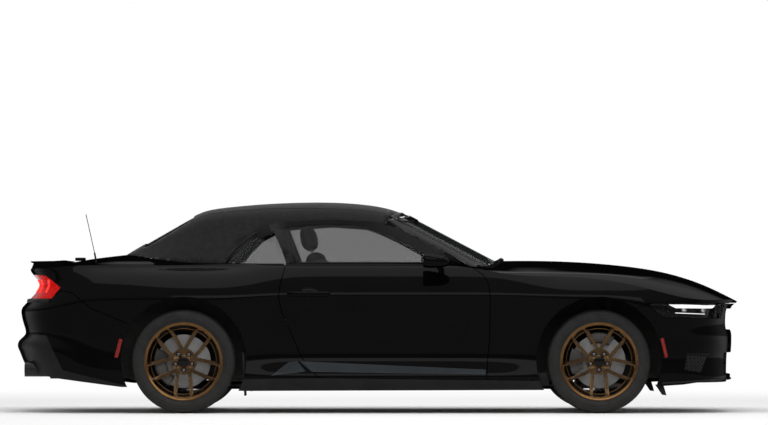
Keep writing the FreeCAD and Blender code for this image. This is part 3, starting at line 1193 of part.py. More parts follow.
def rim():
    edge = RIM_WIDTH / 2
    bead = RIM_RADIUS - FLANGE_LIP
    outer = [(-edge, RIM_RADIUS), (-edge + FLANGE_WIDTH, RIM_RADIUS), (-edge + FLANGE_WIDTH, bead),
             (-edge + FLANGE_WIDTH + BEAD_WIDTH, bead),
             (-edge + FLANGE_WIDTH + BEAD_WIDTH * 2, bead - WELL_DROP),
             (edge - FLANGE_WIDTH - BEAD_WIDTH * 2, bead - WELL_DROP),
             (edge - FLANGE_WIDTH - BEAD_WIDTH, bead),
             (edge - FLANGE_WIDTH, bead), (edge - FLANGE_WIDTH, RIM_RADIUS), (edge, RIM_RADIUS)]
    inner = [(edge, RIM_RADIUS - FLANGE_WIDTH), (edge - FLANGE_WIDTH, bead - RIM_WALL),
             (edge - FLANGE_WIDTH - BEAD_WIDTH, bead - RIM_WALL),
             (edge - FLANGE_WIDTH - BEAD_WIDTH * 2, bead - WELL_DROP - RIM_WALL),
             (-edge + FLANGE_WIDTH + BEAD_WIDTH * 2, bead - WELL_DROP - RIM_WALL),
             (-edge + FLANGE_WIDTH + BEAD_WIDTH, bead - RIM_WALL), (-edge + FLANGE_WIDTH, bead - RIM_WALL),
             (-edge, RIM_RADIUS - FLANGE_WIDTH)]
    barrel = spun(outer + inner)
    hub = Part.makeCylinder(HUB_RADIUS, SPOKE_ROOT_FACE - HUB_FACE, Vector(0, -SPOKE_ROOT_FACE, 0),
                            Vector(0, 1, 0))
    spokes = []
    root = HUB_RADIUS * SPOKE_START_SHARE
    tip = bead - RIM_WALL / 2
    within = Part.makeCylinder(tip, RIM_WIDTH, Vector(0, -edge, 0), Vector(0, 1, 0))
    for pair in range(LUG_COUNT):
        for side in (-1, 1):
            spoke = spoke_bar(side, root, tip).common(within)
            spoke.rotate(Vector(0, 0, 0), Vector(0, 1, 0), 180 + pair * 360 / LUG_COUNT)
            spokes.append(spoke)
    wheel = barrel.fuse([hub] + spokes)
    cap = Part.makeCylinder(CAP_RADIUS, SPOKE_ROOT_FACE, Vector(0, -SPOKE_ROOT_FACE - CAP_RISE, 0),
                            Vector(0, 1, 0))
    holes = []
    for lug in range(LUG_COUNT):
        angle = math.radians(180 + lug * 360 / LUG_COUNT)
        place = Vector(math.sin(angle) * LUG_CIRCLE_RADIUS, -SPOKE_ROOT_FACE - CAP_RISE,
                       math.cos(angle) * LUG_CIRCLE_RADIUS)
        holes.append(Part.makeCylinder(LUG_RADIUS + CAP_RISE, SPOKE_ROOT_FACE - HUB_FACE - LUG_SEAT, place,
                                       Vector(0, 1, 0)))
    wheel = wheel.cut(holes)
    nuts = []
    for hole in holes:
        centre = hole.BoundBox.Center
        nuts.append(Part.makeCylinder(LUG_RADIUS, SPOKE_ROOT_FACE - HUB_FACE - CAP_RISE * 2,
                                      Vector(centre.x, -SPOKE_ROOT_FACE + CAP_RISE, centre.z),
                                      Vector(0, 1, 0)))
    hub_cap = cap.common(box(-HUB_RADIUS, HUB_RADIUS, -SPOKE_ROOT_FACE - CAP_RISE, -HUB_FACE, -HUB_RADIUS,
                             HUB_RADIUS))
    return wheel.fuse(nuts + [hub_cap])


def spoke_bar(side, root, tip):
    """One spoke of a pair, pointing up, leaning outwards towards the rim."""
    sections = []
    for radius, offset, width, face in ((root, SPOKE_ROOT_OFFSET, SPOKE_ROOT_WIDTH, SPOKE_ROOT_FACE),
                                        (tip, SPOKE_TIP_OFFSET, SPOKE_TIP_WIDTH, SPOKE_FACE)):
        x = side * offset
        sections.append(polygon([
            Vector(x - width / 2, -face, radius), Vector(x + width / 2, -face, radius),
            Vector(x + width / 2, -face + SPOKE_DEPTH, radius),
            Vector(x - width / 2, -face + SPOKE_DEPTH, radius)]))
    return Part.makeLoft(sections, True, True)


# Brakes, in the wheel's own frame
DISC_RADIUS = 176.0
DISC_WALL = 30.0
DISC_FACE = 2.0
DISC_BORE = 62.0
CALIPER_INNER = 112.0
CALIPER_OUTER = 192.0
CALIPER_WALL = 14.0
CALIPER_GAP = 5.0
CALIPER_ANGLE = 26.0
STUB_RADIUS = 42.0
UPRIGHT_HALF = 44.0
UPRIGHT_WALL = 55.0
UPRIGHT_GAP = 12.0
KINGPIN_Y = 720.0
HAT_SHARE = 0.85


def brake_disc():
    """A ring with a hat that reaches the wheel's hub face."""
    ring = spun([(-DISC_FACE - DISC_WALL, DISC_BORE), (-DISC_FACE - DISC_WALL, DISC_RADIUS),
                 (-DISC_FACE, DISC_RADIUS),
                 (-DISC_FACE, DISC_BORE)])
    hat = Part.makeCylinder(HUB_RADIUS * HAT_SHARE, HUB_FACE - DISC_FACE, Vector(0, -HUB_FACE, 0),
                            Vector(0, 1, 0))
    return ring.fuse(hat)


def caliper():
    """The caliper behind the axle, round the disc's rear edge."""
    low = -DISC_FACE - DISC_WALL - CALIPER_GAP - CALIPER_WALL
    high = -DISC_FACE + CALIPER_GAP + CALIPER_WALL
    block = Part.makeCylinder(CALIPER_OUTER, high - low, Vector(0, low, 0), Vector(0, 1, 0)).cut(
        Part.makeCylinder(CALIPER_INNER, high - low, Vector(0, low, 0), Vector(0, 1, 0)))
    spread = CALIPER_OUTER * math.tan(math.radians(CALIPER_ANGLE))
    wedge = side_prism([(0, 0), (-CALIPER_OUTER, -spread), (-CALIPER_OUTER, spread)], low, high)
    slot = Part.makeCylinder(DISC_RADIUS + CALIPER_GAP, DISC_WALL + CALIPER_GAP * 2,
                             Vector(0, -DISC_FACE - DISC_WALL - CALIPER_GAP, 0), Vector(0, 1, 0))
    return block.common(wedge).cut(slot)


UPRIGHT_REACH = 140.0
KINGPIN_OFFSET = FRONT_HALF_TRACK - KINGPIN_Y
LUG_HALF = 28.0
LUG_WALL = 28.0


def upright():
    """The hub carrier behind the disc, with its stub and the caliper's bracket."""
    near = -DISC_FACE + CALIPER_GAP
    body = box(-UPRIGHT_HALF, UPRIGHT_HALF, near + UPRIGHT_GAP, near + UPRIGHT_GAP + UPRIGHT_WALL,
               -UPRIGHT_REACH, UPRIGHT_REACH)
    stub = Part.makeCylinder(STUB_RADIUS, near + UPRIGHT_GAP - SEAT_GAP + DISC_FACE,
                             Vector(0, -DISC_FACE + SEAT_GAP, 0), Vector(0, 1, 0))
    arm = box(-CALIPER_OUTER + CALIPER_WALL, 0, near + UPRIGHT_GAP / 2,
              near + UPRIGHT_GAP + UPRIGHT_WALL / 2,
              -UPRIGHT_HALF, UPRIGHT_HALF)
    lugs = [box(-LUG_HALF, LUG_HALF, near + UPRIGHT_GAP, KINGPIN_OFFSET + LUG_HALF, z, z + LUG_WALL)
            for z in (-UPRIGHT_REACH, UPRIGHT_REACH - LUG_WALL)]
    return body.fuse([stub, arm, caliper()] + lugs)


def placed(shape, x, y, mirrored):
    """A wheel-frame shape at its axle's end; a mirrored one goes to the left."""
    piece = shape.copy()
    if mirrored:
        piece = piece.mirror(Vector(0, 0, 0), Vector(0, 1, 0))
    piece.translate(Vector(x, y if mirrored else -y, TYRE_RADIUS))
    return piece


# Suspension
ARM_WALL = 22.0
ARM_HALF = 45.0
ARM_Z = 165.0
JOINT_GAP = 10.0
FRONT_FRAME_HALF = 360.0
FRAME_HEIGHT = 60.0
STRUT_RADIUS = 34.0
STRUT_Y = 540.0
STRUT_OFFSET = 76.0
BALL_RADIUS = 14.0
UPPER_ARM_HALF = 36.0
UPPER_ARM_WAY = 8.0
ARM_SPREAD = 170.0
SHAFT_RADIUS = 18.0


def lower_arm(axle_x, inner_y, outer_y):
    """A triangular arm on the right."""
    return plan_prism([(axle_x - ARM_SPREAD, -inner_y), (axle_x + ARM_SPREAD, -inner_y),
                       (axle_x + ARM_HALF, -outer_y), (axle_x - ARM_HALF, -outer_y)], ARM_Z,
                      ARM_Z + ARM_WALL)


def upper_arm_level():
    return TYRE_RADIUS + UPRIGHT_REACH + JOINT_GAP


def upper_arm_way():
    """The space through which an upper arm passes the wall of its wheel well."""
    low = upper_arm_level() - UPPER_ARM_WAY
    return box(FRONT_AXLE_X - UPPER_ARM_HALF - UPPER_ARM_WAY, FRONT_AXLE_X + UPPER_ARM_HALF + UPPER_ARM_WAY,
               -FRONT_WELL_INNER - LINER_WALL, -FRONT_WELL_INNER + LINER_WALL * 2, low,
               low + ARM_WALL + UPPER_ARM_WAY * 2)


def front_suspension(forms):
    """The crossmember with its lower arms and struts, and the upper arms that stand on the rails."""
    frame_low = ARM_Z - ARM_WALL / 2
    frame = box(FRONT_AXLE_X - FRONT_FRAME_LENGTH / 2, FRONT_AXLE_X + FRONT_FRAME_LENGTH / 2,
                -FRONT_FRAME_HALF,
                FRONT_FRAME_HALF, frame_low, frame_low + FRAME_HEIGHT)
    lower_top = ARM_Z + ARM_WALL
    knuckle_low = TYRE_RADIUS - UPRIGHT_REACH
    knuckle_top = TYRE_RADIUS + UPRIGHT_REACH
    upper_low = upper_arm_level()
    strut_x = FRONT_AXLE_X + STRUT_OFFSET
    well_radius = LINER_RADIUS - LINER_WALL
    strut_top = TYRE_RADIUS + ARCH_LIFT + math.sqrt(well_radius**2 -
                                                    (STRUT_OFFSET + STRUT_RADIUS)**2) - SEAT_GAP
    lower = [
        lower_arm(FRONT_AXLE_X, FRONT_FRAME_HALF - ARM_HALF, KINGPIN_Y),
        Part.makeCylinder(ARM_HALF, ARM_WALL, Vector(FRONT_AXLE_X, -KINGPIN_Y, ARM_Z)),
        Part.makeCylinder(BALL_RADIUS, knuckle_low - SEAT_GAP - lower_top,
                          Vector(FRONT_AXLE_X, -KINGPIN_Y, lower_top)),
        rod((strut_x, -STRUT_Y, ARM_Z + ARM_WALL / 2), (strut_x, -STRUT_Y, strut_top), STRUT_RADIUS),
        box(FRONT_AXLE_X - ARM_HALF, FRONT_AXLE_X + ARM_HALF, -FRONT_FRAME_HALF - ARM_HALF,
            -FRONT_FRAME_HALF + ARM_HALF, frame_low, RAIL_LOW - SEAT_GAP)]
    upper = box(FRONT_AXLE_X - UPPER_ARM_HALF, FRONT_AXLE_X + UPPER_ARM_HALF, -KINGPIN_Y,
                -FRONT_RAIL_INNER - ARM_HALF,
                upper_low, upper_low + ARM_WALL)
    upper = upper.fuse([
        Part.makeCylinder(UPPER_ARM_HALF, ARM_WALL, Vector(FRONT_AXLE_X, -KINGPIN_Y, upper_low)),
        Part.makeCylinder(BALL_RADIUS, upper_low - knuckle_top - SEAT_GAP,
                          Vector(FRONT_AXLE_X, -KINGPIN_Y, knuckle_top + SEAT_GAP)),
        box(FRONT_AXLE_X - UPPER_ARM_HALF, FRONT_AXLE_X + UPPER_ARM_HALF, -FRONT_RAIL_INNER - RAIL_WIDTH,
            -FRONT_RAIL_INNER - ARM_HALF, RAIL_LOW + RAIL_HEIGHT + SEAT_GAP, upper_low + ARM_WALL)])
    whole = frame.fuse([piece for shape in lower for piece in (shape, left_of(shape))])
    return main_solids(Part.makeCompound(whole.Solids + with_left(upper).Solids))


DIFF_RADIUS = 85.0
DIFF_HALF = 150.0


def rear_suspension(forms):
    """The crossmember, the axle drive and shafts, the lower links and the hub carriers."""
    low = ARM_Z + PIPE_RADIUS + FRAME_HEIGHT
    reach = REAR_HALF_TRACK - DISC_FACE - UPRIGHT_WALL
    frame_half = REAR_RAIL_INNER + RAIL_WIDTH
    whole = box(REAR_AXLE_X - FRONT_FRAME_LENGTH / 2, REAR_AXLE_X + FRONT_FRAME_LENGTH / 2, -frame_half,
                frame_half,
                low, low + FRAME_HEIGHT)
    right = [
        placed(upright(), REAR_AXLE_X, REAR_HALF_TRACK, False),
        box(REAR_AXLE_X - ARM_HALF, REAR_AXLE_X + ARM_HALF, -REAR_HALF_TRACK + UPRIGHT_GAP, -REAR_RAIL_INNER,
            ARM_Z + ARM_WALL, ARM_Z + ARM_WALL * 2),
        box(REAR_AXLE_X - ARM_HALF, REAR_AXLE_X + ARM_HALF, -frame_half, -REAR_RAIL_INNER, ARM_Z + ARM_WALL,
            BOOT_FLOOR - RAIL_HEIGHT - SEAT_GAP)]
    whole = whole.fuse([
        cross_cylinder(REAR_AXLE_X, TYRE_RADIUS, DIFF_RADIUS, -DIFF_HALF, DIFF_HALF),
        cross_cylinder(REAR_AXLE_X, TYRE_RADIUS, SHAFT_RADIUS, -reach, reach)])
    whole = whole.fuse([piece for shape in right for piece in (shape, left_of(shape))])
    return main_solids(whole.cut(forms.liners))


# Trim
SPOILER_PX = [(36.4, 262.0), (59.7, 261.6), (70, 261.0), (71, 276), (56, 276), (51, 268.6), (36.6, 263.0)]
SPOILER_HALF = 600.0
AERIAL_PX = [(98, 268), (86, 214.5)]
AERIAL_Y = 700.0
AERIAL_RADIUS = 2.5
AERIAL_FOOT_RADIUS = 6.0
MIRROR_PX = [
    (420, 262), (424, 254.5), (434, 252), (446, 252.5), (455, 257), (458, 264), (450, 268), (436, 269),
    (424, 267.5)]
MIRROR_INNER = 905.0
MIRROR_OUTER = 1068.0
MIRROR_FOOT_PX = [(440, 268), (455, 268), (458, 274), (444, 274)]


def boot_spoiler(forms):
    blade = side_prism(outline(SPOILER_PX, 0.0), -SPOILER_HALF, SPOILER_HALF)
    return main_solids(blade.cut(forms.outer))


# Each wiper's pivot and tip, as shares of the half length and of the half width
WIPER_SHARES = [((0.336, -0.449), (0.347, 0.105)), ((0.349, 0.157), (0.312, 0.725))]
WIPER_RADIUS = 7.0
WIPER_PIVOT_RADIUS = 14.0
WIPER_LIFT = 16.0
WIPER_ROOT = 12.0


def skin_height(forms, x, y):
    """The height of the body's skin over one place."""
    plumb = Part.makeLine(Vector(x, y, FIREWALL_TOP), Vector(x, y, OVERALL_HEIGHT))
    return plumb.common(forms.outer).BoundBox.ZMax


def wipers(forms):
    """Two arms that rest along the windscreen's foot, each on its pivot."""
    pieces = []
    for ends in WIPER_SHARES:
        corners = []
        for x_share, y_share in ends:
            x = x_share * OVERALL_LENGTH / 2
            y = y_share * HALF_WIDTH
            corners.append((x, y, skin_height(forms, x, y) + WIPER_LIFT))
        x, y, level = corners[0]
        root = level - WIPER_LIFT - WIPER_ROOT
        pivot = Part.makeCylinder(WIPER_PIVOT_RADIUS, WIPER_LIFT + WIPER_ROOT, Vector(x, y, root))
        arm = rod(corners[0], corners[1], WIPER_RADIUS)
        pieces += pivot.fuse(arm).cut(forms.outer).Solids
    return Part.makeCompound(pieces)


AERIAL_FOOT_SHARE = 0.28


def aerial(forms):
    foot = at(*AERIAL_PX[0], -AERIAL_Y)
    top = at(*AERIAL_PX[1], -AERIAL_Y)
    mast = rod((foot[0], -AERIAL_Y, foot[1]), (top[0], -AERIAL_Y, top[1]), AERIAL_RADIUS)
    share = AERIAL_FOOT_SHARE
    middle = (blend(foot[0], top[0], share), -AERIAL_Y, blend(foot[1], top[1], share))
    base = rod((foot[0], -AERIAL_Y, foot[1] - AERIAL_FOOT_RADIUS * 3), middle, AERIAL_FOOT_RADIUS)
    return main_solids(mast.fuse(base).cut(forms.outer))


MIRROR_FOOT_INSET = 90.0


def right_mirror(forms):
    housing = side_prism(outline(MIRROR_PX, -(MIRROR_INNER + MIRROR_OUTER) / 2), -MIRROR_OUTER,
                         -MIRROR_INNER)
    foot = side_prism(outline(MIRROR_FOOT_PX, -MIRROR_INNER), -MIRROR_OUTER + MIRROR_FOOT_INSET,
                      -CABIN_HALF_WIDTH)
    return main_solids(housing.fuse(foot).cut([forms.outer, forms.glass]))


def main():
    forms = BodyForms()
    arm_way = upper_arm_way()
    forms.axle_ways = [cross_cylinder(REAR_AXLE_X, TYRE_RADIUS, SHAFT_RADIUS * 3, -REAR_HALF_TRACK,
                                      REAR_HALF_TRACK),
                       arm_way, left_of(arm_way)]
    forms.frames = door_frames(forms)
    forms.underbody = underbody(forms)
    forms.liners = wheel_arch_liners(forms)
    forms.pane = canopy_solid(GLASS_DEPTH).cut(canopy_solid(GLASS_DEPTH + GLASS_WALL))
    forms.glass = canopy_glass(DOOR_GLASS_PX, forms)
    forms.dashboard = dashboard(forms)
    parts = {
        "bonnet": bonnet(forms), "boot_lid": boot_lid(forms), "cowl": cowl(forms),
        "front_fenders": front_fenders(forms), "rear_quarters": rear_quarters(forms),
        "side_skirts": side_skirts(forms), "front_bumper": front_bumper(forms),
        "front_grilles": front_grilles(forms), "bumper_beam": bumper_beam(forms),
        "rear_bumper": rear_bumper(forms),
        "headlamps": headlamps(forms),
        "tail_lamps": tail_lamps(forms), "front_splitter": front_splitter(forms),
        "door_frames": forms.frames,
        "underbody": forms.underbody, "wheel_arch_liners": forms.liners, "soft_top": soft_top(forms),
        "rear_window": rear_window(forms), "quarter_glass": with_left(canopy_glass(QUARTER_GLASS_PX, forms)),
        "windscreen": windscreen(forms), "windscreen_frame": windscreen_frame(forms),
        "front_seats": front_seats(), "seat_frames": seat_frames(), "rear_seat": rear_seat(),
        "dashboard": forms.dashboard, "steering_column": steering_column(forms),
        "steering_wheel": steering_wheel(),
        "engine": engine(), "radiator": radiator(), "exhaust": exhaust(),
        "front_suspension": front_suspension(forms), "rear_suspension": rear_suspension(forms),
        "boot_spoiler": boot_spoiler(forms), "aerial": aerial(forms), "wipers": wipers(forms)}
    door = right_door(forms)
    glass = forms.glass
    mirror = right_mirror(forms)
    for side, turn in (("right", lambda s: s), ("left", left_of)):
        parts["door_" + side] = turn(door)
        parts["door_glass_" + side] = turn(glass)
        parts["mirror_" + side] = turn(mirror)
    corners = {"front_right": (FRONT_AXLE_X, FRONT_HALF_TRACK, False),
               "front_left": (FRONT_AXLE_X, FRONT_HALF_TRACK, True),
               "rear_right": (REAR_AXLE_X, REAR_HALF_TRACK, False),
               "rear_left": (REAR_AXLE_X, REAR_HALF_TRACK, True)}
    shapes = {"tyre": tyre(), "rim": rim(), "brake_disc": brake_disc()}
    for corner, place in corners.items():
        for name, shape in shapes.items():
            parts[name + "_" + corner] = placed(shape, *place)
    for corner in ("front_right", "front_left"):
        parts["knuckle_" + corner] = placed(upright(), *corners[corner])
    for name, shape in parts.items():
        export(name, shape)
    return parts


if __name__ == "__main__":
    main()
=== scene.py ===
# %% [markdown]
# # A two-door muscle car with its fabric top closed
# The shapes that carry, turn and open come from the CAD model. This script dresses that frame: it gives each
# surface its finish, makes smooth outer panels, and adds the parts that only the eye needs, such as lamp
# insides, tread, seams and seats. Everything is in metres, with +X forward, +Y to the car's left and +Z up.

# %% Imports and the frame
import json
import math

import bpy
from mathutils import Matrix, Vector
from mathutils.bvhtree import BVHTree
from mathutils.interpolate import poly_3d_calc

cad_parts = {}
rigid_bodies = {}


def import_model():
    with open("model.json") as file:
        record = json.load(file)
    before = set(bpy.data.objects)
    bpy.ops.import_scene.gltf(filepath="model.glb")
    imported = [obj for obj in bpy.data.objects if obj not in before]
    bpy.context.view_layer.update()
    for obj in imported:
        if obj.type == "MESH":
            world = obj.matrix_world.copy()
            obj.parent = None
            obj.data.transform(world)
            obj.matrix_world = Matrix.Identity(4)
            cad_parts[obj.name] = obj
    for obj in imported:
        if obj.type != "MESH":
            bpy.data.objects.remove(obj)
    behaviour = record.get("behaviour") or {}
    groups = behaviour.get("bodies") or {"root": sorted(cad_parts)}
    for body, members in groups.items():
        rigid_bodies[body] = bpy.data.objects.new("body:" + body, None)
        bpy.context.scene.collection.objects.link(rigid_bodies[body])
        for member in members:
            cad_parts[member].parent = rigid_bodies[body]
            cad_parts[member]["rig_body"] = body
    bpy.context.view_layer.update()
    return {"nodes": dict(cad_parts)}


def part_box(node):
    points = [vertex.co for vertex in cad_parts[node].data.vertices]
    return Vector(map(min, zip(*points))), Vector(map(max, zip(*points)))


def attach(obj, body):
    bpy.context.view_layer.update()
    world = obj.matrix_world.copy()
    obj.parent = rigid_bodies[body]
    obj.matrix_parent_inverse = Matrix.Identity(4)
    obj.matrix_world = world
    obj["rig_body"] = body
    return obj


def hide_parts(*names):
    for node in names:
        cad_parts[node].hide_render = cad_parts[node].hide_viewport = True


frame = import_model()
nodes = frame["nodes"]
scene = bpy.context.scene
scene.view_settings.view_transform = "Standard"

# %% [markdown]
# ## Reading places off the photograph
# The picture is 768 pixels wide and looks square at the car's right side from far away. A place on the car
# can be read from it once we know how far that place is from the camera, so one small function turns a
# pixel and a depth into metres. The CAD model was measured in the same way, so both agree.

# %% From a pixel to a place
HALF_WIDTH = 0.957
CAMERA_DISTANCE = 36.0825
CAMERA_X = 0.0473
CAMERA_Z = 0.7528
PX_ALONG = 0.006536
PX_UP = 0.006572
MIDDLE_PX = 384.0
GROUND_PX = 412.9
FRONT_HUB_PX = (599.6, 361.6)
REAR_HUB_PX = (183.1, 361.6)


def at(px, py, y=-HALF_WIDTH):
    """The place of a pixel on the plane at y, as (x, z) in metres."""
    growth = 1 + (y + HALF_WIDTH) / CAMERA_DISTANCE
    x = CAMERA_X + (px - MIDDLE_PX) * PX_ALONG * growth
    z = CAMERA_Z + ((GROUND_PX - py) * PX_UP - CAMERA_Z) * growth
    return x, z


print("front hub:", at(*FRONT_HUB_PX), "rear hub:", at(*REAR_HUB_PX))

# %% [markdown]
# ## Camera
# The photograph was taken from far off with a long lens, nearly level and square to the side. The camera's
# vertical shift brings the car to its place in the picture without tilting it, so upright lines stay upright.

# %% The camera at the photograph's place
HORIZON_PX = 298.4
FRAME_WIDTH_PX = 768
FRAME_HEIGHT_PX = 425

camera_data = bpy.data.cameras.new("photo_camera")
camera = bpy.data.objects.new("photo_camera", camera_data)
scene.collection.objects.link(camera)
camera.location = (CAMERA_X, -HALF_WIDTH - CAMERA_DISTANCE, CAMERA_Z)
camera.rotation_euler = (math.radians(90), 0, 0)
camera_data.sensor_width = 36.0
camera_data.lens = camera_data.sensor_width * CAMERA_DISTANCE / (FRAME_WIDTH_PX * PX_ALONG)
camera_data.shift_y = (HORIZON_PX - FRAME_HEIGHT_PX / 2) / FRAME_WIDTH_PX
camera_data.clip_end = 200.0
scene.camera = camera
print("camera lens:", round(camera_data.lens, 1), "shift:", round(camera_data.shift_y, 4))

# %% [markdown]
# ## Floor and light
# The car stands on a pale floor that runs out of sight. Close to the car the floor is an ordinary pale
# surface, so it takes the shadow; far away it turns plain white, so no edge shows behind the car. One wide
# soft lamp overhead and one at each side give the gentle studio light of the photograph. The surroundings
# look white to the camera, but what gloss reflects of them is darker near the horizon, so that the sides of
# the car stay black while its shoulders shine.

# %% Floor
FLOOR_SIZE = 160.0
bpy.ops.mesh.primitive_plane_add(size=FLOOR_SIZE, location=(0, 0, 0))
floor = bpy.context.object
floor.name = "studio_floor"


# %% Small helpers for building materials
def new_material(name):
    """An empty material with its output; returns the material and its node tree."""
    material = bpy.data.materials.new(name)
    material.use_nodes = True
    material.node_tree.nodes.clear()
    return material, material.node_tree


def add_node(tree, kind, **settings):
    """A node of a kind, with its properties or its inputs' values set by name."""
    node = tree.nodes.new(kind)
    for key, value in settings.items():
        if hasattr(node, key):
            setattr(node, key, value)
        else:
            node.inputs[key.replace("_", " ")].default_value = value
    return node


def link(tree, start, output, end, socket):
    tree.links.new(start.outputs[output], end.inputs[socket])


# %% The floor's surface
FLOOR_COLOUR = (0.90, 0.90, 0.90, 1)
FLOOR_NEAR = 3.2
FLOOR_FAR = 9.0
floor_material, tree = new_material("studio_floor_paint")
place = add_node(tree, "ShaderNodeTexCoord")
distance = add_node(tree, "ShaderNodeVectorMath", operation="LENGTH")
link(tree, place, "Object", distance, 0)
fade = add_node(tree, "ShaderNodeMapRange", interpolation_type="SMOOTHSTEP", From_Min=FLOOR_NEAR,
                From_Max=FLOOR_FAR)
link(tree, distance, "Value", fade, "Value")
surface = add_node(tree, "ShaderNodeBsdfPrincipled", Base_Color=FLOOR_COLOUR, Roughness=0.75)
surface.inputs["Specular IOR Level"].default_value = 0.2
white = add_node(tree, "ShaderNodeEmission", Color=(1, 1, 1, 1), Strength=1.0)
mix = add_node(tree, "ShaderNodeMixShader")
link(tree, fade, "Result", mix, "Fac")
link(tree, surface, "BSDF", mix, 1)
link(tree, white, "Emission", mix, 2)
output = add_node(tree, "ShaderNodeOutputMaterial")
link(tree, mix, "Shader", output, "Surface")
floor.data.materials.append(floor_material)

# %% The white surroundings
WORLD_LIGHT = 0.55
HORIZON_SHINE = 0.30
HORIZON_CLIMB = 0.08
FULL_SHINE_CLIMB = 0.40
world = bpy.data.worlds.new("studio")
world.use_nodes = True
scene.world = world
tree = world.node_tree
tree.nodes.clear()
path = add_node(tree, "ShaderNodeLightPath")
seen = add_node(tree, "ShaderNodeMath", operation="MAXIMUM")
link(tree, path, "Is Camera Ray", seen, 0)
link(tree, path, "Is Transmission Ray", seen, 1)
seen_or_glossy = add_node(tree, "ShaderNodeMath", operation="MAXIMUM")
link(tree, seen, "Value", seen_or_glossy, 0)
link(tree, path, "Is Glossy Ray", seen_or_glossy, 1)
strength = add_node(tree, "ShaderNodeMapRange", To_Min=WORLD_LIGHT, To_Max=1.0)
link(tree, seen_or_glossy, "Value", strength, "Value")
way = add_node(tree, "ShaderNodeTexCoord")
climb = add_node(tree, "ShaderNodeSeparateXYZ")
link(tree, way, "Generated", climb, "Vector")
sky = add_node(tree, "ShaderNodeMapRange", interpolation_type="SMOOTHSTEP", From_Min=HORIZON_CLIMB,
               From_Max=FULL_SHINE_CLIMB, To_Min=HORIZON_SHINE, To_Max=1.0)
link(tree, climb, "Z", sky, "Value")
shaded = add_node(tree, "ShaderNodeMapRange", To_Min=1.0)
link(tree, path, "Is Glossy Ray", shaded, "Value")
link(tree, sky, "Result", shaded, "To Max")
total = add_node(tree, "ShaderNodeMath", operation="MULTIPLY")
link(tree, strength, "Result", total, 0)
link(tree, shaded, "Result", total, 1)
background = add_node(tree, "ShaderNodeBackground", Color=(1, 1, 1, 1))
link(tree, total, "Value", background, "Strength")
output = add_node(tree, "ShaderNodeOutputWorld")
link(tree, background, "Background", output, "Surface")

# %% Lamps
LAMPS = [
    ("overhead_lamp", (0.0, -1.5, 5.5), (0, 0, 0.4), (7.0, 3.5), 210.0),
    ("near_side_lamp", (1.0, -8.0, 3.5), (0, 0, 0.6), (6.0, 2.5), 150.0),
    ("far_side_lamp", (0.0, 8.0, 4.0), (0, 0, 0.6), (6.0, 2.5), 110.0)]
for name, lamp_place, target, size, power in LAMPS:
    lamp_data = bpy.data.lights.new(name, "AREA")
    lamp_data.shape = "RECTANGLE"
    lamp_data.size, lamp_data.size_y = size
    lamp_data.energy = power
    lamp = bpy.data.objects.new(name, lamp_data)
    scene.collection.objects.link(lamp)
    lamp.location = lamp_place
    aim = Vector(target) - Vector(lamp_place)
    lamp.rotation_euler = aim.to_track_quat("-Z", "Y").to_euler()
print("lamps:", len(LAMPS))

# %% [markdown]
# ## A master surface for the body
# A car body is drawn first as one smooth surface, and the panels are cut from it afterwards. The CAD panels
# are cut from such a surface too, but reach us as triangles, which would glint like a cut stone under black
# gloss paint. So the same surface is drawn again here from its table of sections, as a cubic NURBS sheet:
# each section is a row of points down the side of the car, and the rows are joined into one skin. A second
# sheet is the form seen from above. The panels will be laid on these two.

# %% The sections of the side skin: (share of the half width outwards, photograph row)
NOSE_SECTION = [
    (0.058, 253), (0.058, 276), (0.058, 291), (0.058, 299.5), (0.056, 303), (0.016, 305), (0.002, 312),
    (-0.001, 319), (-0.001, 323), (0.000, 328), (0.012, 331.8), (0.016, 334.5), (0.016, 344), (0.012, 352),
    (0.010, 356), (0.008, 361), (0.006, 370), (0.006, 376), (0.006, 380), (0.006, 394.6)]
NOSE_CORNER_SECTION = [
    (0.000, 253), (0.012, 274), (0.018, 289), (0.020, 297.5), (0.018, 301), (0.010, 306), (0.004, 312),
    (0.002, 317), (0.000, 320), (-0.002, 328), (0.003, 332), (0.004, 338), (-0.004, 346), (-0.012, 353),
    (-0.014, 358), (-0.010, 364), (-0.004, 371), (0.000, 376), (0.000, 380), (-0.010, 394.6)]
BUMPER_SIDE_SECTION = [
    (-0.070, 253), (-0.062, 268), (-0.050, 281), (-0.036, 287.5), (-0.020, 292), (-0.006, 299), (0.000, 306),
    (0.002, 313), (0.001, 318), (-0.003, 325), (-0.006, 333), (-0.008, 341), (-0.010, 349), (-0.012, 356),
    (-0.012, 361), (-0.008, 368), (-0.006, 374), (-0.010, 379), (-0.018, 384), (-0.050, 394.6)]
FRONT_WHEEL_SECTION = [
    (-0.150, 253), (-0.143, 263), (-0.128, 271.5), (-0.104, 275.5), (-0.064, 281), (-0.022, 288.5),
    (-0.003, 293.5), (0.001, 296), (0.002, 299), (0.000, 305), (-0.004, 316), (-0.008, 333),
    (-0.012, 349), (-0.014, 359), (-0.012, 363.5), (-0.008, 373), (-0.008, 376.5), (-0.012, 382.5),
    (-0.030, 387.8), (-0.060, 394.6)]
DOOR_SECTION = [
    (-0.330, 253), (-0.157, 261), (-0.102, 266), (-0.088, 268.5), (-0.056, 275), (-0.020, 285),
    (-0.003, 292.5), (0.000, 295), (-0.001, 297), (-0.009, 300.5), (-0.024, 315), (-0.036, 333),
    (-0.044, 349), (-0.045, 358), (-0.034, 363), (-0.006, 372.5), (0.000, 376), (-0.004, 381.5),
    (-0.020, 387), (-0.060, 394.6)]
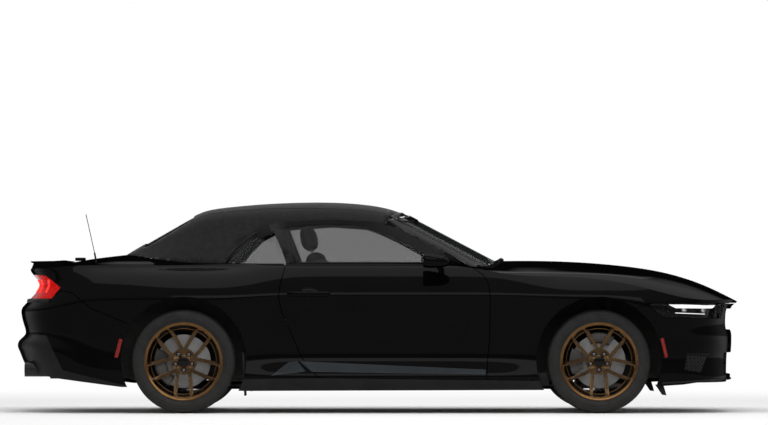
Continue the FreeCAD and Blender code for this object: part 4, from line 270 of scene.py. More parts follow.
REAR_WHEEL_SECTION = [
    (-0.200, 253), (-0.190, 261.5), (-0.172, 266), (-0.144, 269), (-0.088, 275.5), (-0.028, 287),
    (-0.004, 294), (0.001, 297.5), (0.002, 300), (0.000, 306), (-0.006, 318), (-0.012, 333),
    (-0.018, 349), (-0.020, 359), (-0.018, 363.5), (-0.010, 372), (-0.010, 376), (-0.014, 382),
    (-0.030, 388), (-0.060, 394.6)]
TAIL_SIDE_SECTION = [
    (-0.170, 253), (-0.158, 261), (-0.140, 266), (-0.120, 269), (-0.074, 275.5), (-0.030, 285),
    (-0.008, 294), (0.000, 300), (-0.004, 304), (-0.014, 310), (-0.024, 320), (-0.030, 333),
    (-0.034, 345), (-0.034, 354), (-0.032, 360), (-0.028, 366), (-0.028, 372), (-0.032, 377),
    (-0.044, 384), (-0.080, 394.6)]
TAIL_CORNER_SECTION = [
    (-0.080, 253), (-0.066, 262), (-0.050, 266), (-0.050, 270), (-0.070, 277), (-0.092, 285),
    (-0.066, 293), (-0.034, 301), (-0.010, 307), (-0.004, 311), (-0.018, 322), (-0.034, 331.5),
    (-0.028, 336), (-0.004, 340.5), (0.000, 347), (-0.010, 351.5), (-0.016, 357), (-0.036, 366),
    (-0.066, 374), (-0.090, 394.6)]
TAIL_SECTION = [
    (-0.110, 253), (-0.104, 262), (-0.080, 266), (-0.066, 270.5), (-0.110, 277), (-0.156, 284.5),
    (-0.118, 292), (-0.066, 300), (-0.016, 307), (-0.004, 311), (-0.018, 322), (-0.044, 331.5),
    (-0.036, 336), (0.010, 340.5), (0.022, 346.5), (0.004, 351.5), (-0.010, 357), (-0.036, 366),
    (-0.072, 374), (-0.090, 394.6)]

# Each station: photograph column on the right side plane, share of the half width, two sections, and the
# share of the second one.
STATIONS = [
    (737.3, 0.000, NOSE_SECTION, NOSE_SECTION, 0),
    (737.3, 0.170, NOSE_SECTION, NOSE_SECTION, 0),
    (734.6, 0.400, NOSE_SECTION, NOSE_CORNER_SECTION, 0.15),
    (727.5, 0.600, NOSE_SECTION, NOSE_CORNER_SECTION, 0.50),
    (717.0, 0.755, NOSE_CORNER_SECTION, NOSE_CORNER_SECTION, 0),
    (699.0, 0.865, NOSE_CORNER_SECTION, BUMPER_SIDE_SECTION, 0.40),
    (677.0, 0.937, NOSE_CORNER_SECTION, BUMPER_SIDE_SECTION, 0.90),
    (654.0, 0.974, BUMPER_SIDE_SECTION, FRONT_WHEEL_SECTION, 0.40),
    (627.0, 0.989, BUMPER_SIDE_SECTION, FRONT_WHEEL_SECTION, 0.85),
    (598.0, 0.994, FRONT_WHEEL_SECTION, FRONT_WHEEL_SECTION, 0),
    (570.0, 0.993, FRONT_WHEEL_SECTION, FRONT_WHEEL_SECTION, 0),
    (545.0, 0.986, FRONT_WHEEL_SECTION, DOOR_SECTION, 0.30),
    (518.0, 0.976, FRONT_WHEEL_SECTION, DOOR_SECTION, 0.75),
    (485.0, 0.972, DOOR_SECTION, DOOR_SECTION, 0),
    (440.0, 0.971, DOOR_SECTION, DOOR_SECTION, 0),
    (390.0, 0.971, DOOR_SECTION, DOOR_SECTION, 0),
    (340.0, 0.971, DOOR_SECTION, DOOR_SECTION, 0),
    (300.0, 0.972, DOOR_SECTION, DOOR_SECTION, 0),
    (275.0, 0.975, DOOR_SECTION, REAR_WHEEL_SECTION, 0.15),
    (252.0, 0.986, DOOR_SECTION, REAR_WHEEL_SECTION, 0.55),
    (230.0, 0.996, DOOR_SECTION, REAR_WHEEL_SECTION, 0.92),
    (205.0, 1.000, REAR_WHEEL_SECTION, REAR_WHEEL_SECTION, 0),
    (180.0, 1.000, REAR_WHEEL_SECTION, REAR_WHEEL_SECTION, 0),
    (152.0, 0.996, REAR_WHEEL_SECTION, TAIL_SIDE_SECTION, 0.25),
    (122.0, 0.984, REAR_WHEEL_SECTION, TAIL_SIDE_SECTION, 0.75),
    (90.0, 0.960, TAIL_SIDE_SECTION, TAIL_SIDE_SECTION, 0),
    (60.0, 0.915, TAIL_SIDE_SECTION, TAIL_CORNER_SECTION, 0.40),
    (37.0, 0.830, TAIL_CORNER_SECTION, TAIL_CORNER_SECTION, 0),
    (22.5, 0.680, TAIL_CORNER_SECTION, TAIL_SECTION, 0.40),
    (14.5, 0.450, TAIL_SECTION, TAIL_SECTION, 0),
    (12.0, 0.180, TAIL_SECTION, TAIL_SECTION, 0),
    (12.0, 0.000, TAIL_SECTION, TAIL_SECTION, 0)]

# The form from above: the height of the top surface as photograph rows, along the car, for some shares of
# the half width. The first value of each line is the photograph column; all are read on the car's middle
# plane.
TOP_WIDTHS = [0, 0.18, 0.38, 0.56, 0.70, 0.80, 0.90, 1.05]
TOP_ROWS = [
    (5, [271, 271, 271, 271, 271, 271, 272, 278]),
    (36, [269.6, 269.6, 269.6, 269.6, 269.8, 270, 271, 277]),
    (58, [267.2, 267.2, 267.2, 267.2, 267.6, 268.4, 270, 276]),
    (74, [263.0, 263.0, 263.2, 263.6, 264.8, 266.4, 269, 276]),
    (92, [259.4, 259.5, 259.9, 260.8, 262.8, 265.6, 268, 276]),
    (115, [256.5, 256.6, 257.2, 258.8, 262.2, 265.6, 268, 276]),
    (135, [254.0, 254.4, 256.0, 258.8, 262.2, 265.6, 268, 276]),
    (165, [254.0, 254.6, 256.2, 258.8, 262.2, 265.6, 268, 276]),
    (200, [254.0, 254.6, 256.4, 259.2, 262.2, 265.2, 268, 276]),
    (240, [256.0, 256.5, 258.0, 260.0, 262.5, 264.0, 266, 270]),
    (280, [260.0, 260.0, 261.0, 262.0, 263.5, 264.5, 265, 266]),
    (350, [262.0, 262.0, 262.0, 262.5, 263.5, 264.5, 265, 266]),
    (420, [262.0, 262.0, 262.0, 262.5, 263.5, 264.5, 265, 266]),
    (470, [262.0, 262.0, 262.0, 263.0, 265.0, 266.5, 268, 272]),
    (505, [261.0, 261.1, 262.0, 265.0, 269.0, 272.0, 275, 282]),
    (540, [260.9, 261.0, 262.2, 265.8, 269.8, 272.6, 276, 284]),
    (580, [262.3, 262.4, 263.6, 267.2, 271.0, 273.4, 277, 286]),
    (615, [265.2, 265.3, 266.5, 269.8, 273.2, 275.6, 280, 290]),
    (645, [268.8, 269.0, 270.3, 273.6, 277.6, 280.8, 286, 297]),
    (670, [273.8, 274.0, 275.6, 279.2, 284.0, 288.5, 294, 306]),
    (695, [281.5, 281.8, 283.2, 287.0, 292.0, 297.0, 303, 316]),
    (715, [290.3, 290.6, 291.6, 294.6, 299.0, 303.5, 310, 324]),
    (732, [299.2, 299.4, 300.2, 302.0, 305.5, 310.0, 317, 332]),
    (745, [306.0, 306.2, 307.0, 309.0, 312.0, 317.0, 324, 340])]


# %% The tables as rows of control points
def share_between(a, b, share):
    return a + (b - a) * share


def side_rows():
    """The rows of control points of the right side's skin, from the middle of the nose to the tail."""
    places = [(at(px, GROUND_PX)[0], -HALF_WIDTH * width) for px, width, *_ in STATIONS]
    rows = []
    for i, (x, y) in enumerate(places):
        _, _, first, second, share = STATIONS[i]
        if i in (0, 1):
            outwards = (1.0, 0.0)
        elif i >= len(places) - 2:
            outwards = (-1.0, 0.0)
        else:
            (xa, ya), (xb, yb) = places[i - 1], places[i + 1]
            size = math.hypot(xb - xa, yb - ya)
            outwards = (-(yb - ya) / size, (xb - xa) / size)
        row = []
        for (out_a, py_a), (out_b, py_b) in zip(first, second):
            out = share_between(out_a, out_b, share) * HALF_WIDTH
            z = at(MIDDLE_PX, share_between(py_a, py_b, share))[1]
            row.append((x + outwards[0] * out, min(y + outwards[1] * out, 0.0), z))
        rows.append(row)
    return rows


def top_rows():
    """The rows of control points of the form seen from above, each right across the car."""
    widths = [-share for share in reversed(TOP_WIDTHS[1:])] + TOP_WIDTHS
    rows = []
    for px, heights in TOP_ROWS:
        across = list(reversed(heights[1:])) + heights
        rows.append([(at(px, py, 0.0)[0], width * HALF_WIDTH, at(px, py, 0.0)[1])
                     for width, py in zip(widths, across)])
    return rows


# %% Small helpers for meshes
def make_active(piece):
    """Selects one object alone and makes it the active one."""
    for other in list(bpy.context.selected_objects):
        other.select_set(False)
    piece.select_set(True)
    bpy.context.view_layer.objects.active = piece


def edit_all():
    """Opens the active object for editing, with its whole mesh selected."""
    bpy.ops.object.mode_set(mode="EDIT")
    bpy.ops.mesh.select_all(action="SELECT")


def edit_done():
    bpy.ops.object.mode_set(mode="OBJECT")


def select_faces(piece, wanted):
    """Opens the active object for editing, with only the faces selected whose numbers are wanted."""
    bpy.ops.object.mode_set(mode="EDIT")
    bpy.ops.mesh.select_all(action="DESELECT")
    bpy.ops.mesh.select_mode(type="FACE")
    bpy.ops.object.mode_set(mode="OBJECT")
    for face in piece.data.polygons:
        face.select = face.index in wanted
    bpy.ops.object.mode_set(mode="EDIT")


def mesh_piece(name, points, edges, faces):
    """A new object from its points, edges and faces, left active."""
    mesh = bpy.data.meshes.new(name)
    mesh.from_pydata(points, edges, faces)
    piece = bpy.data.objects.new(name, mesh)
    scene.collection.objects.link(piece)
    make_active(piece)
    return piece


def modify(piece, kind, **settings):
    """Gives the active object a modifier with these settings and applies it."""
    bpy.ops.object.modifier_add(type=kind)
    modifier = piece.modifiers[-1]
    for key, value in settings.items():
        setattr(modifier, key, value)
    bpy.ops.object.modifier_apply(modifier=modifier.name)


# %% Two smooth sheets from the rows
SHEET_MERGE = 0.00001


def smooth_sheet(name, rows, resolution):
    """A cubic NURBS sheet through rows of control points, turned into a mesh."""
    data = bpy.data.curves.new(name, "SURFACE")
    data.dimensions = "3D"
    for row in rows:
        spline = data.splines.new("NURBS")
        spline.points.add(len(row) - 1)
        for point, co in zip(spline.points, row):
            point.co = (*co, 1.0)
            point.select = True
    sheet = bpy.data.objects.new(name, data)
    scene.collection.objects.link(sheet)
    make_active(sheet)
    bpy.ops.object.mode_set(mode="EDIT")
    bpy.ops.curve.select_all(action="SELECT")
    bpy.ops.curve.make_segment()
    bpy.ops.object.mode_set(mode="OBJECT")
    spline = data.splines[0]
    spline.order_u = spline.order_v = 4
    spline.use_endpoint_u = spline.use_endpoint_v = True
    spline.resolution_u = spline.resolution_v = resolution
    bpy.ops.object.convert(target="MESH")
    sheet = bpy.context.object
    edit_all()
    bpy.ops.mesh.remove_doubles(threshold=SHEET_MERGE)
    edit_done()
    bpy.ops.object.shade_smooth()
    return sheet


side_sheet = smooth_sheet("side_sheet", side_rows(), 8)
top_sheet = smooth_sheet("top_sheet", top_rows(), 8)
print("master sheets:", len(side_sheet.data.vertices), "and", len(top_sheet.data.vertices), "points")

# %% [markdown]
# ## Laying the panels on the master surface
# Each painted panel starts as a copy of its CAD triangles, whose shut lines and openings are exact. Its
# outer faces are found by comparing them with the two sheets, the large ones are subdivided, the new points
# are drawn onto the sheet, and every corner takes the sheet's own normal. The result reflects as smoothly as
# pressed steel, while the gaps between the panels stay where the CAD model has them. Shrinkwrap and Data
# Transfer modifiers could do the same, but they can't tell an outer face from the wall of a shut line.

# %% Asking a sheet for its nearest point and direction
class SheetLookup:
    """Finds the nearest point of a smooth sheet, and the sheet's outward direction there."""

    def __init__(self, sheet, probe, outwards, mirrored):
        mesh = sheet.data
        self.points = [v.co.copy() for v in mesh.vertices]
        self.normals = [v.normal.copy() for v in mesh.vertices]
        self.faces = [tuple(p.vertices) for p in mesh.polygons]
        self.tree = BVHTree.FromPolygons(self.points, self.faces)
        self.mirrored = mirrored
        self.sign = 1.0
        if self.nearest(Vector(probe))[1].dot(Vector(outwards)) < 0:
            self.sign = -1.0

    def nearest(self, place):
        """The nearest point, the direction there and the distance."""
        flip = self.mirrored and place.y > 0
        query = Vector((place.x, -place.y, place.z)) if flip else place
        point, _, index, distance = self.tree.find_nearest(query)
        face = self.faces[index]
        weights = poly_3d_calc([self.points[i] for i in face], point)
        normal = Vector((0, 0, 0))
        for i, weight in zip(face, weights):
            normal += self.normals[i] * weight
        normal = normal.normalized() * self.sign
        if flip:
            point = Vector((point.x, -point.y, point.z))
            normal = Vector((normal.x, -normal.y, normal.z))
        return point, normal, distance


side_lookup = SheetLookup(side_sheet, (0, -2, 0.5), (0, -1, 0), True)
top_lookup = SheetLookup(top_sheet, (1.5, 0, 2), (0, 0, 1), False)
both_lookups = [side_lookup, top_lookup]
print("outward signs:", side_lookup.sign, top_lookup.sign)

# %% Copying a CAD node and laying it on the sheets
MERGE_DISTANCE = 0.00005
ON_SHEET = 0.0012
FACING = 0.6
LONG_EDGE = 0.035


def copy_of(node, name):
    """A merged copy of a CAD node's mesh, as a new object."""
    piece = bpy.data.objects.new(name, nodes[node].data.copy())
    scene.collection.objects.link(piece)
    piece.data.materials.clear()
    make_active(piece)
    edit_all()
    bpy.ops.mesh.remove_doubles(threshold=MERGE_DISTANCE)
    edit_done()
    return piece


def sheet_under(centre, normal, lookups):
    """Which sheet a face lies on, or None for an inner face or the wall of a gap."""
    best = None
    for lookup in lookups:
        _, direction, distance = lookup.nearest(centre)
        if distance < ON_SHEET and direction.dot(normal) > FACING:
            if best is None or distance < best[1]:
                best = (lookup, distance)
    return best[0] if best else None


def lay_on_sheets(piece, lookups, passes=2):
    """Refines a panel's outer faces, draws them onto the sheets and gives them the sheets' normals."""
    mesh = piece.data
    for _ in range(passes):
        long_faces = set()
        for face in mesh.polygons:
            corners = [mesh.vertices[i].co for i in face.vertices]
            longest = max((a - b).length for a, b in zip(corners, corners[1:] + corners[:1]))
            if longest > LONG_EDGE and sheet_under(face.center, face.normal, lookups):
                long_faces.add(face.index)
        if not long_faces:
            break
        make_active(piece)
        select_faces(piece, long_faces)
        bpy.ops.mesh.subdivide(number_cuts=1)
        bpy.ops.mesh.select_all(action="SELECT")
        bpy.ops.mesh.quads_convert_to_tris()
        edit_done()
    owners = [sheet_under(face.center, face.normal, lookups) for face in mesh.polygons]
    touching = {}
    for face, owner in zip(mesh.polygons, owners):
        if owner:
            for i in face.vertices:
                touching.setdefault(i, set()).add(owner)
    for i, found in touching.items():
        if len(found) == 1:
            mesh.vertices[i].co = next(iter(found)).nearest(mesh.vertices[i].co)[0]
    mesh.polygons.foreach_set("use_smooth", [True] * len(mesh.polygons))
    corner_normals = []
    known = {}
    for face, owner in zip(mesh.polygons, owners):
        for i in face.vertices:
            if owner is None:
                corner_normals.append(face.normal.copy())
                continue
            if (i, owner) not in known:
                known[i, owner] = owner.nearest(mesh.vertices[i].co)[1]
            corner_normals.append(known[i, owner])
    mesh.normals_split_custom_set(corner_normals)
    print(piece.name, len(mesh.polygons), "triangles,", sum(o is not None for o in owners), "on the sheets")

# %% [markdown]
# ## Effects that several finishes share
# Real surfaces are never quite even: paint has a faint orange peel, plastic has a moulded grain, cloth has
# a weave, and everything near the road collects dust. Each of these effects is a small node group, built
# once and placed in every finish that needs it with its own sizes. A group only puts out a number or a
# height; the shader that uses it stays in the material.

# %% A helper that starts a node group
def new_group(name, inputs, outputs):
    """An empty node group with float inputs and outputs; returns it with its two end nodes."""
    group = bpy.data.node_groups.new(name, "ShaderNodeTree")
    for label, value in inputs:
        socket = group.interface.new_socket(label, in_out="INPUT", socket_type="NodeSocketFloat")
        socket.default_value = value
    for label in outputs:
        group.interface.new_socket(label, in_out="OUTPUT", socket_type="NodeSocketFloat")
    return group, group.nodes.new("NodeGroupInput"), group.nodes.new("NodeGroupOutput")


def scaled_place(group, start, along=(1.0, 1.0, 1.0)):
    """Object coordinates times the group's Scale input, squeezed by a fixed amount each way."""
    place = add_node(group, "ShaderNodeTexCoord")
    squeeze = add_node(group, "ShaderNodeVectorMath", operation="MULTIPLY")
    squeeze.inputs[1].default_value = along
    link(group, place, "Object", squeeze, 0)
    scale = add_node(group, "ShaderNodeVectorMath", operation="SCALE")
    link(group, squeeze, "Vector", scale, 0)
    link(group, start, "Scale", scale, "Scale")
    return scale


# %% Unevenness, for roughness and tone
uneven, start, end = new_group("unevenness", [("Scale", 12.0), ("Low", 0.3), ("High", 0.5)], ["Value"])
place = scaled_place(uneven, start)
noise = add_node(uneven, "ShaderNodeTexNoise", Scale=1.0, Detail=5.0, Roughness=0.6)
link(uneven, place, "Vector", noise, "Vector")
spread = add_node(uneven, "ShaderNodeMapRange", From_Min=0.3, From_Max=0.7)
link(uneven, noise, "Fac", spread, "Value")
link(uneven, start, "Low", spread, "To Min")
link(uneven, start, "High", spread, "To Max")
link(uneven, spread, "Result", end, "Value")

# %% Moulded grain, for plastic, rubber and leather
grain, start, end = new_group("moulded_grain", [("Scale", 400.0)], ["Height"])
place = scaled_place(grain, start)
cells = add_node(grain, "ShaderNodeTexVoronoi", feature="DISTANCE_TO_EDGE", Scale=1.0)
link(grain, place, "Vector", cells, "Vector")
bump_shape = add_node(grain, "ShaderNodeMapRange", interpolation_type="SMOOTHSTEP", From_Max=0.25)
link(grain, cells, "Distance", bump_shape, "Value")
link(grain, bump_shape, "Result", end, "Height")

# %% Woven threads, for the top and the headliner
weave, start, end = new_group("woven_threads", [("Scale", 500.0)], ["Height"])
place = scaled_place(weave, start)
waves = []
for axis in ("X", "Y", "Z"):
    wave = add_node(weave, "ShaderNodeTexWave", wave_type="BANDS", bands_direction=axis, Scale=0.5,
                    Distortion=0.6)
    wave.inputs["Detail"].default_value = 1.0
    link(weave, place, "Vector", wave, "Vector")
    waves.append(wave)
cross = add_node(weave, "ShaderNodeMath", operation="MULTIPLY")
link(weave, waves[0], "Fac", cross, 0)
link(weave, waves[1], "Fac", cross, 1)
upright = add_node(weave, "ShaderNodeMath", operation="MAXIMUM")
link(weave, cross, "Value", upright, 0)
half = add_node(weave, "ShaderNodeMath", operation="MULTIPLY")
half.inputs[1].default_value = 0.6
link(weave, waves[2], "Fac", half, 0)
link(weave, half, "Value", upright, 1)
link(weave, upright, "Value", end, "Height")

# %% Road dust, which gathers low on the car
dust, start, end = new_group("road_dust", [("Scale", 9.0), ("Top", 0.45), ("Most", 0.35)], ["Mask"])
place = scaled_place(dust, start)
cloud = add_node(dust, "ShaderNodeTexNoise", Scale=1.0, Detail=6.0, Roughness=0.65)
link(dust, place, "Vector", cloud, "Vector")
spot = add_node(dust, "ShaderNodeTexCoord")
axes = add_node(dust, "ShaderNodeSeparateXYZ")
link(dust, spot, "Object", axes, "Vector")
fall = add_node(dust, "ShaderNodeMapRange", To_Min=1.0, To_Max=0.0)
link(dust, axes, "Z", fall, "Value")
link(dust, start, "Top", fall, "From Max")
both = add_node(dust, "ShaderNodeMath", operation="MULTIPLY")
link(dust, fall, "Result", both, 0)
link(dust, cloud, "Fac", both, 1)
level = add_node(dust, "ShaderNodeMath", operation="MULTIPLY", use_clamp=True)
link(dust, both, "Value", level, 0)
link(dust, start, "Most", level, 1)
link(dust, level, "Value", end, "Mask")
print("node groups:", [group.name for group in bpy.data.node_groups])

# %% [markdown]
# ## A finish from its parts
# Most finishes here are built alike: a Principled shader whose colour wanders between two tones, whose
# roughness wanders between two values, and whose relief comes from one of the shared groups. One function
# lays out those nodes, and each finish gives its own numbers. It could be done by copying one material many
# times, but then a mistake would have to be mended many times too.

# %% The function that lays out a finish
DUST_COLOUR = (0.16, 0.14, 0.12, 1)
ROUGHNESS_FINER = 2.3
RELIEF_STRENGTH = 0.6
# Sockets of the mix node that have the same name for numbers and colours, so they go by their place.
MIX_A = 6
MIX_B = 7
MIX_COLOUR = 2


def place_group(tree, group, **values):
    node = tree.nodes.new("ShaderNodeGroup")
    node.node_tree = group
    for key, value in values.items():
        node.inputs[key].default_value = value
    return node


def two_tones(tree, mask, output, dark, light):
    """A colour that follows a mask between two tones."""
    mix = tree.nodes.new("ShaderNodeMix")
    mix.data_type = "RGBA"
    mix.inputs[MIX_A].default_value = dark
    mix.inputs[MIX_B].default_value = light
    link(tree, mask, output, mix, 0)
    return mix


def finish(name, dark, light, rough, metallic=0.0, relief=None, relief_scale=400.0, relief_depth=0.0002,
           tone_scale=6.0, dusty=0.0, dust_top=0.45, **constants):
    """A material whose colour and roughness vary over the surface, with a relief and dust where asked for."""
    material, tree = new_material(name)
    surface = add_node(tree, "ShaderNodeBsdfPrincipled", Metallic=metallic)
    for key, value in constants.items():
        surface.inputs[key.replace("_", " ")].default_value = value
    output = add_node(tree, "ShaderNodeOutputMaterial")
    link(tree, surface, "BSDF", output, "Surface")
    tone = place_group(tree, uneven, Scale=tone_scale, Low=0.0, High=1.0)
    colour = two_tones(tree, tone, "Value", (*dark, 1), (*light, 1))
    roughness = place_group(tree, uneven, Scale=tone_scale * ROUGHNESS_FINER, Low=rough[0], High=rough[1])
    if dusty:
        mask = place_group(tree, dust, Top=dust_top, Most=dusty)
        clean = colour
        colour = tree.nodes.new("ShaderNodeMix")
        colour.data_type = "RGBA"
        link(tree, mask, "Mask", colour, 0)
        link(tree, clean, MIX_COLOUR, colour, MIX_A)
        colour.inputs[MIX_B].default_value = DUST_COLOUR
    link(tree, colour, MIX_COLOUR, surface, "Base Color")
    link(tree, roughness, "Value", surface, "Roughness")
    if relief:
        height = place_group(tree, relief, Scale=relief_scale)
        bump = add_node(tree, "ShaderNodeBump", Strength=RELIEF_STRENGTH, Distance=relief_depth)
        link(tree, height, 0, bump, "Height")
        link(tree, bump, "Normal", surface, "Normal")
    return material

# %% [markdown]
# ## The finishes of this car
# The photograph shows a black car that is black in five ways: deep gloss paint, satin plastic trim, woven
# cloth, rubber and dark glass. What tells them apart is how they shine, so each gets its own roughness.
# The paint has a faint orange peel and most other finishes a relief, but the glass, the gloss plastic, the
# wheel metals, the disc iron and the steels have none. The wheels are a dark bronze lacquer over metal.

# %% Gloss that fades at the rim of a form
def fade_gloss(material, shine, first=0.45, last=0.82):
    """Lets a surface's gloss fade out where it is seen almost edge-on, as dark studio lacquer does."""
    tree = material.node_tree
    surface = next(node for node in tree.nodes if node.type == "BSDF_PRINCIPLED")
    glance = add_node(tree, "ShaderNodeLayerWeight", Blend=0.5)
    fade = add_node(tree, "ShaderNodeMapRange", interpolation_type="SMOOTHSTEP", From_Min=first,
                    From_Max=last, To_Min=shine, To_Max=0.0)
    link(tree, glance, "Facing", fade, "Value")
    link(tree, fade, "Result", surface, "Specular IOR Level")
    return surface


# %% Gloss black paint
PAINT_TONES = ((0.0009, 0.0009, 0.0011), (0.0015, 0.0015, 0.0017))
PAINT_SHINE = 0.045
PLASTIC_SHINE = 0.12
paint = finish("gloss_black_paint", *PAINT_TONES, (0.045, 0.075), tone_scale=3.0, dusty=0.02, dust_top=0.4)
surface = fade_gloss(paint, PAINT_SHINE)
tree = paint.node_tree
peel = add_node(tree, "ShaderNodeTexNoise", Scale=260.0, Detail=2.0)
place = add_node(tree, "ShaderNodeTexCoord")
link(tree, place, "Object", peel, "Vector")
bump = add_node(tree, "ShaderNodeBump", Strength=0.05, Distance=0.0002)
link(tree, peel, "Fac", bump, "Height")
link(tree, bump, "Normal", surface, "Normal")

# %% Plastic, rubber, cloth and metal
satin = finish("satin_black_plastic", (0.0035, 0.0035, 0.004), (0.007, 0.007, 0.0075), (0.34, 0.5),
               relief=grain, relief_scale=900.0, relief_depth=0.00015, dusty=0.08, dust_top=0.35)
fade_gloss(satin, PLASTIC_SHINE)
piano = finish("gloss_black_plastic", (0.002, 0.002, 0.002), (0.0035, 0.0035, 0.004), (0.08, 0.16),
               tone_scale=10.0)
fade_gloss(piano, PLASTIC_SHINE)
rubber = finish("tyre_rubber", (0.006, 0.006, 0.0062), (0.012, 0.0117, 0.0115), (0.55, 0.75), relief=grain,
                relief_scale=700.0, relief_depth=0.0002, tone_scale=14.0, dusty=0.10, dust_top=0.5,
                Specular_IOR_Level=0.2)
seal_rubber = finish("seal_rubber", (0.004, 0.004, 0.004), (0.007, 0.007, 0.007), (0.5, 0.65), relief=grain,
                     relief_scale=1500.0, relief_depth=0.0001, Specular_IOR_Level=0.12)
top_cloth = finish("woven_top_cloth", (0.007, 0.007, 0.0075), (0.0125, 0.0125, 0.013), (0.8, 0.95),
                   relief=weave, relief_scale=2200.0, relief_depth=0.0006, tone_scale=30.0,
                   Sheen_Weight=0.08, Sheen_Roughness=0.45, Specular_IOR_Level=0.08)
lining = finish("headliner_cloth", (0.02, 0.02, 0.021), (0.035, 0.035, 0.036), (0.85, 0.95), relief=weave,
                relief_scale=3000.0, relief_depth=0.0003, Sheen_Weight=0.2, Specular_IOR_Level=0.1)
leather = finish("seat_leather", (0.011, 0.011, 0.0115), (0.022, 0.022, 0.0225), (0.38, 0.55), relief=grain,
                 relief_scale=420.0, relief_depth=0.0005, tone_scale=9.0, Specular_IOR_Level=0.4)
cabin_plastic = finish("cabin_plastic", (0.012, 0.012, 0.0125), (0.02, 0.02, 0.0205), (0.5, 0.68),
                       relief=grain, relief_scale=650.0, relief_depth=0.0003, Specular_IOR_Level=0.35)
bronze = finish("dark_bronze_lacquer", (0.045, 0.027, 0.0135), (0.075, 0.045, 0.0225), (0.20, 0.32),
                metallic=1.0, tone_scale=16.0, dusty=0.04, dust_top=0.6)
# A brighter copy of the bronze: a painted highlight on the spokes' edges, the rim's lip and the barrel's
# ring.
bronze_painted_highlight = finish("bronze_painted_highlight_lacquer", (0.080, 0.042, 0.017), (0.12, 0.063, 0.025), (0.16, 0.28),
                       metallic=1.0, tone_scale=16.0, dusty=0.04, dust_top=0.6)
# A darker copy for the barrel: painted shade deep in the wheel, with dust as well.
barrel_shade_and_dust = finish("wheel_barrel_shade_and_dust", (0.012, 0.010, 0.009), (0.022, 0.018, 0.015), (0.35, 0.5),
                      metallic=0.9, tone_scale=12.0, dusty=0.3, dust_top=0.6)
disc_iron = finish("ground_disc_iron", (0.42, 0.42, 0.42), (0.58, 0.575, 0.57), (0.28, 0.42), metallic=0.35,
                   tone_scale=20.0, dusty=0.1, dust_top=0.6)
cast_iron = finish("cast_iron", (0.045, 0.043, 0.041), (0.10, 0.095, 0.09), (0.5, 0.7), metallic=0.8,
                   relief=grain, relief_scale=500.0, relief_depth=0.0004, dusty=0.3)
cast_alloy = finish("cast_alloy", (0.26, 0.26, 0.265), (0.40, 0.40, 0.405), (0.42, 0.6), metallic=0.9,
                    relief=grain, relief_scale=600.0, relief_depth=0.0004, dusty=0.15, dust_top=0.6)
nut_steel = finish("nut_steel", (0.055, 0.055, 0.058), (0.11, 0.11, 0.115), (0.2, 0.35), metallic=1.0,
                   tone_scale=40.0)
bright_steel = finish("bright_steel", (0.45, 0.45, 0.46), (0.6, 0.6, 0.6), (0.14, 0.26), metallic=1.0,
                      tone_scale=25.0)
pipe_steel = finish("pipe_steel", (0.012, 0.012, 0.0125), (0.035, 0.035, 0.036), (0.25, 0.45), metallic=1.0,
                    tone_scale=10.0, dusty=0.3)
undercoat = finish("chassis_undercoat", (0.012, 0.012, 0.012), (0.025, 0.024, 0.023), (0.6, 0.8),
                   relief=grain, relief_scale=260.0, relief_depth=0.0006, dusty=0.4, dust_top=0.5)
arch_felt = finish("arch_liner_felt", (0.008, 0.008, 0.008), (0.016, 0.0155, 0.015), (0.85, 1.0),
                   relief=grain, relief_scale=320.0, relief_depth=0.0008, dusty=0.35, dust_top=0.7)
print("finishes:", len(bpy.data.materials))

# %% [markdown]
# ## Dark window glass and lamp lenses
# The windows are tinted: light passes once on its way in and once more on its way out at the far side, so
# the white background shows through as mid grey. A pane has two faces, and each lets a share through, so
# the shader's Alpha is set for one face. A refracting shader would bend the view at every triangle, which a
# thin pane doesn't do, so plain Alpha is the better match here. The clear and the red lens are made in the
# same way; what shines or reflects behind them is solid, and some of it glows a little.

# %% Panes and lenses
def pane(name, tone, alpha, rough=(0.02, 0.05), **constants):
    """A thin see-through finish; alpha is how much one face of the pane hides."""
    material, tree = new_material(name)
    surface = add_node(tree, "ShaderNodeBsdfPrincipled", Base_Color=(*tone, 1), Alpha=alpha)
    for key, value in constants.items():
        surface.inputs[key.replace("_", " ")].default_value = value
    output = add_node(tree, "ShaderNodeOutputMaterial")
    link(tree, surface, "BSDF", output, "Surface")
    roughness = place_group(tree, uneven, Scale=4.0, Low=rough[0], High=rough[1])
    link(tree, roughness, "Value", surface, "Roughness")
    return material


tinted_glass = pane("tinted_glass", (0.006, 0.0065, 0.0065), 0.39, Specular_IOR_Level=0.08)
screen_glass = pane("windscreen_glass", (0.004, 0.0045, 0.0045), 0.70)
fade_gloss(screen_glass, 0.06)
lamp_glass = pane("clear_lamp_lens", (0.01, 0.01, 0.01), 0.12, Specular_IOR_Level=0.12)
red_glass = pane("red_lamp_lens", (0.42, 0.003, 0.002), 0.80, (0.05, 0.12), Specular_IOR_Level=0.06,
                 Emission_Color=(1.0, 0.008, 0.004, 1), Emission_Strength=0.22)
red_solid = finish("red_reflector", (0.16, 0.006, 0.004), (0.26, 0.010, 0.006), (0.10, 0.2), relief=grain,
                   relief_scale=260.0, relief_depth=0.0006, Specular_IOR_Level=0.2)
red_bar = finish("red_light_bar", (0.75, 0.010, 0.006), (0.95, 0.020, 0.012), (0.15, 0.3),
                 Emission_Color=(1.0, 0.02, 0.01, 1), Emission_Strength=0.6)
white_lamp = finish("lamp_reflector", (0.75, 0.76, 0.78), (0.92, 0.93, 0.95), (0.08, 0.2),
                    tone_scale=40.0, Emission_Color=(1, 1, 1, 1), Emission_Strength=0.6)

# %% [markdown]
# ## The painted panels
# Bonnet, boot lid, fenders, doors and bumpers are pressed or moulded skins in gloss paint. The CAD parts
# give their exact outlines, and the two master sheets give the smooth shape between them. The cowl and the
# side skirts are laid on the same sheets, in satin plastic. So is the lower part of the rear bumper: three
# planes, set along its edge in the photograph, cut the skin, and the faces below them change their finish.

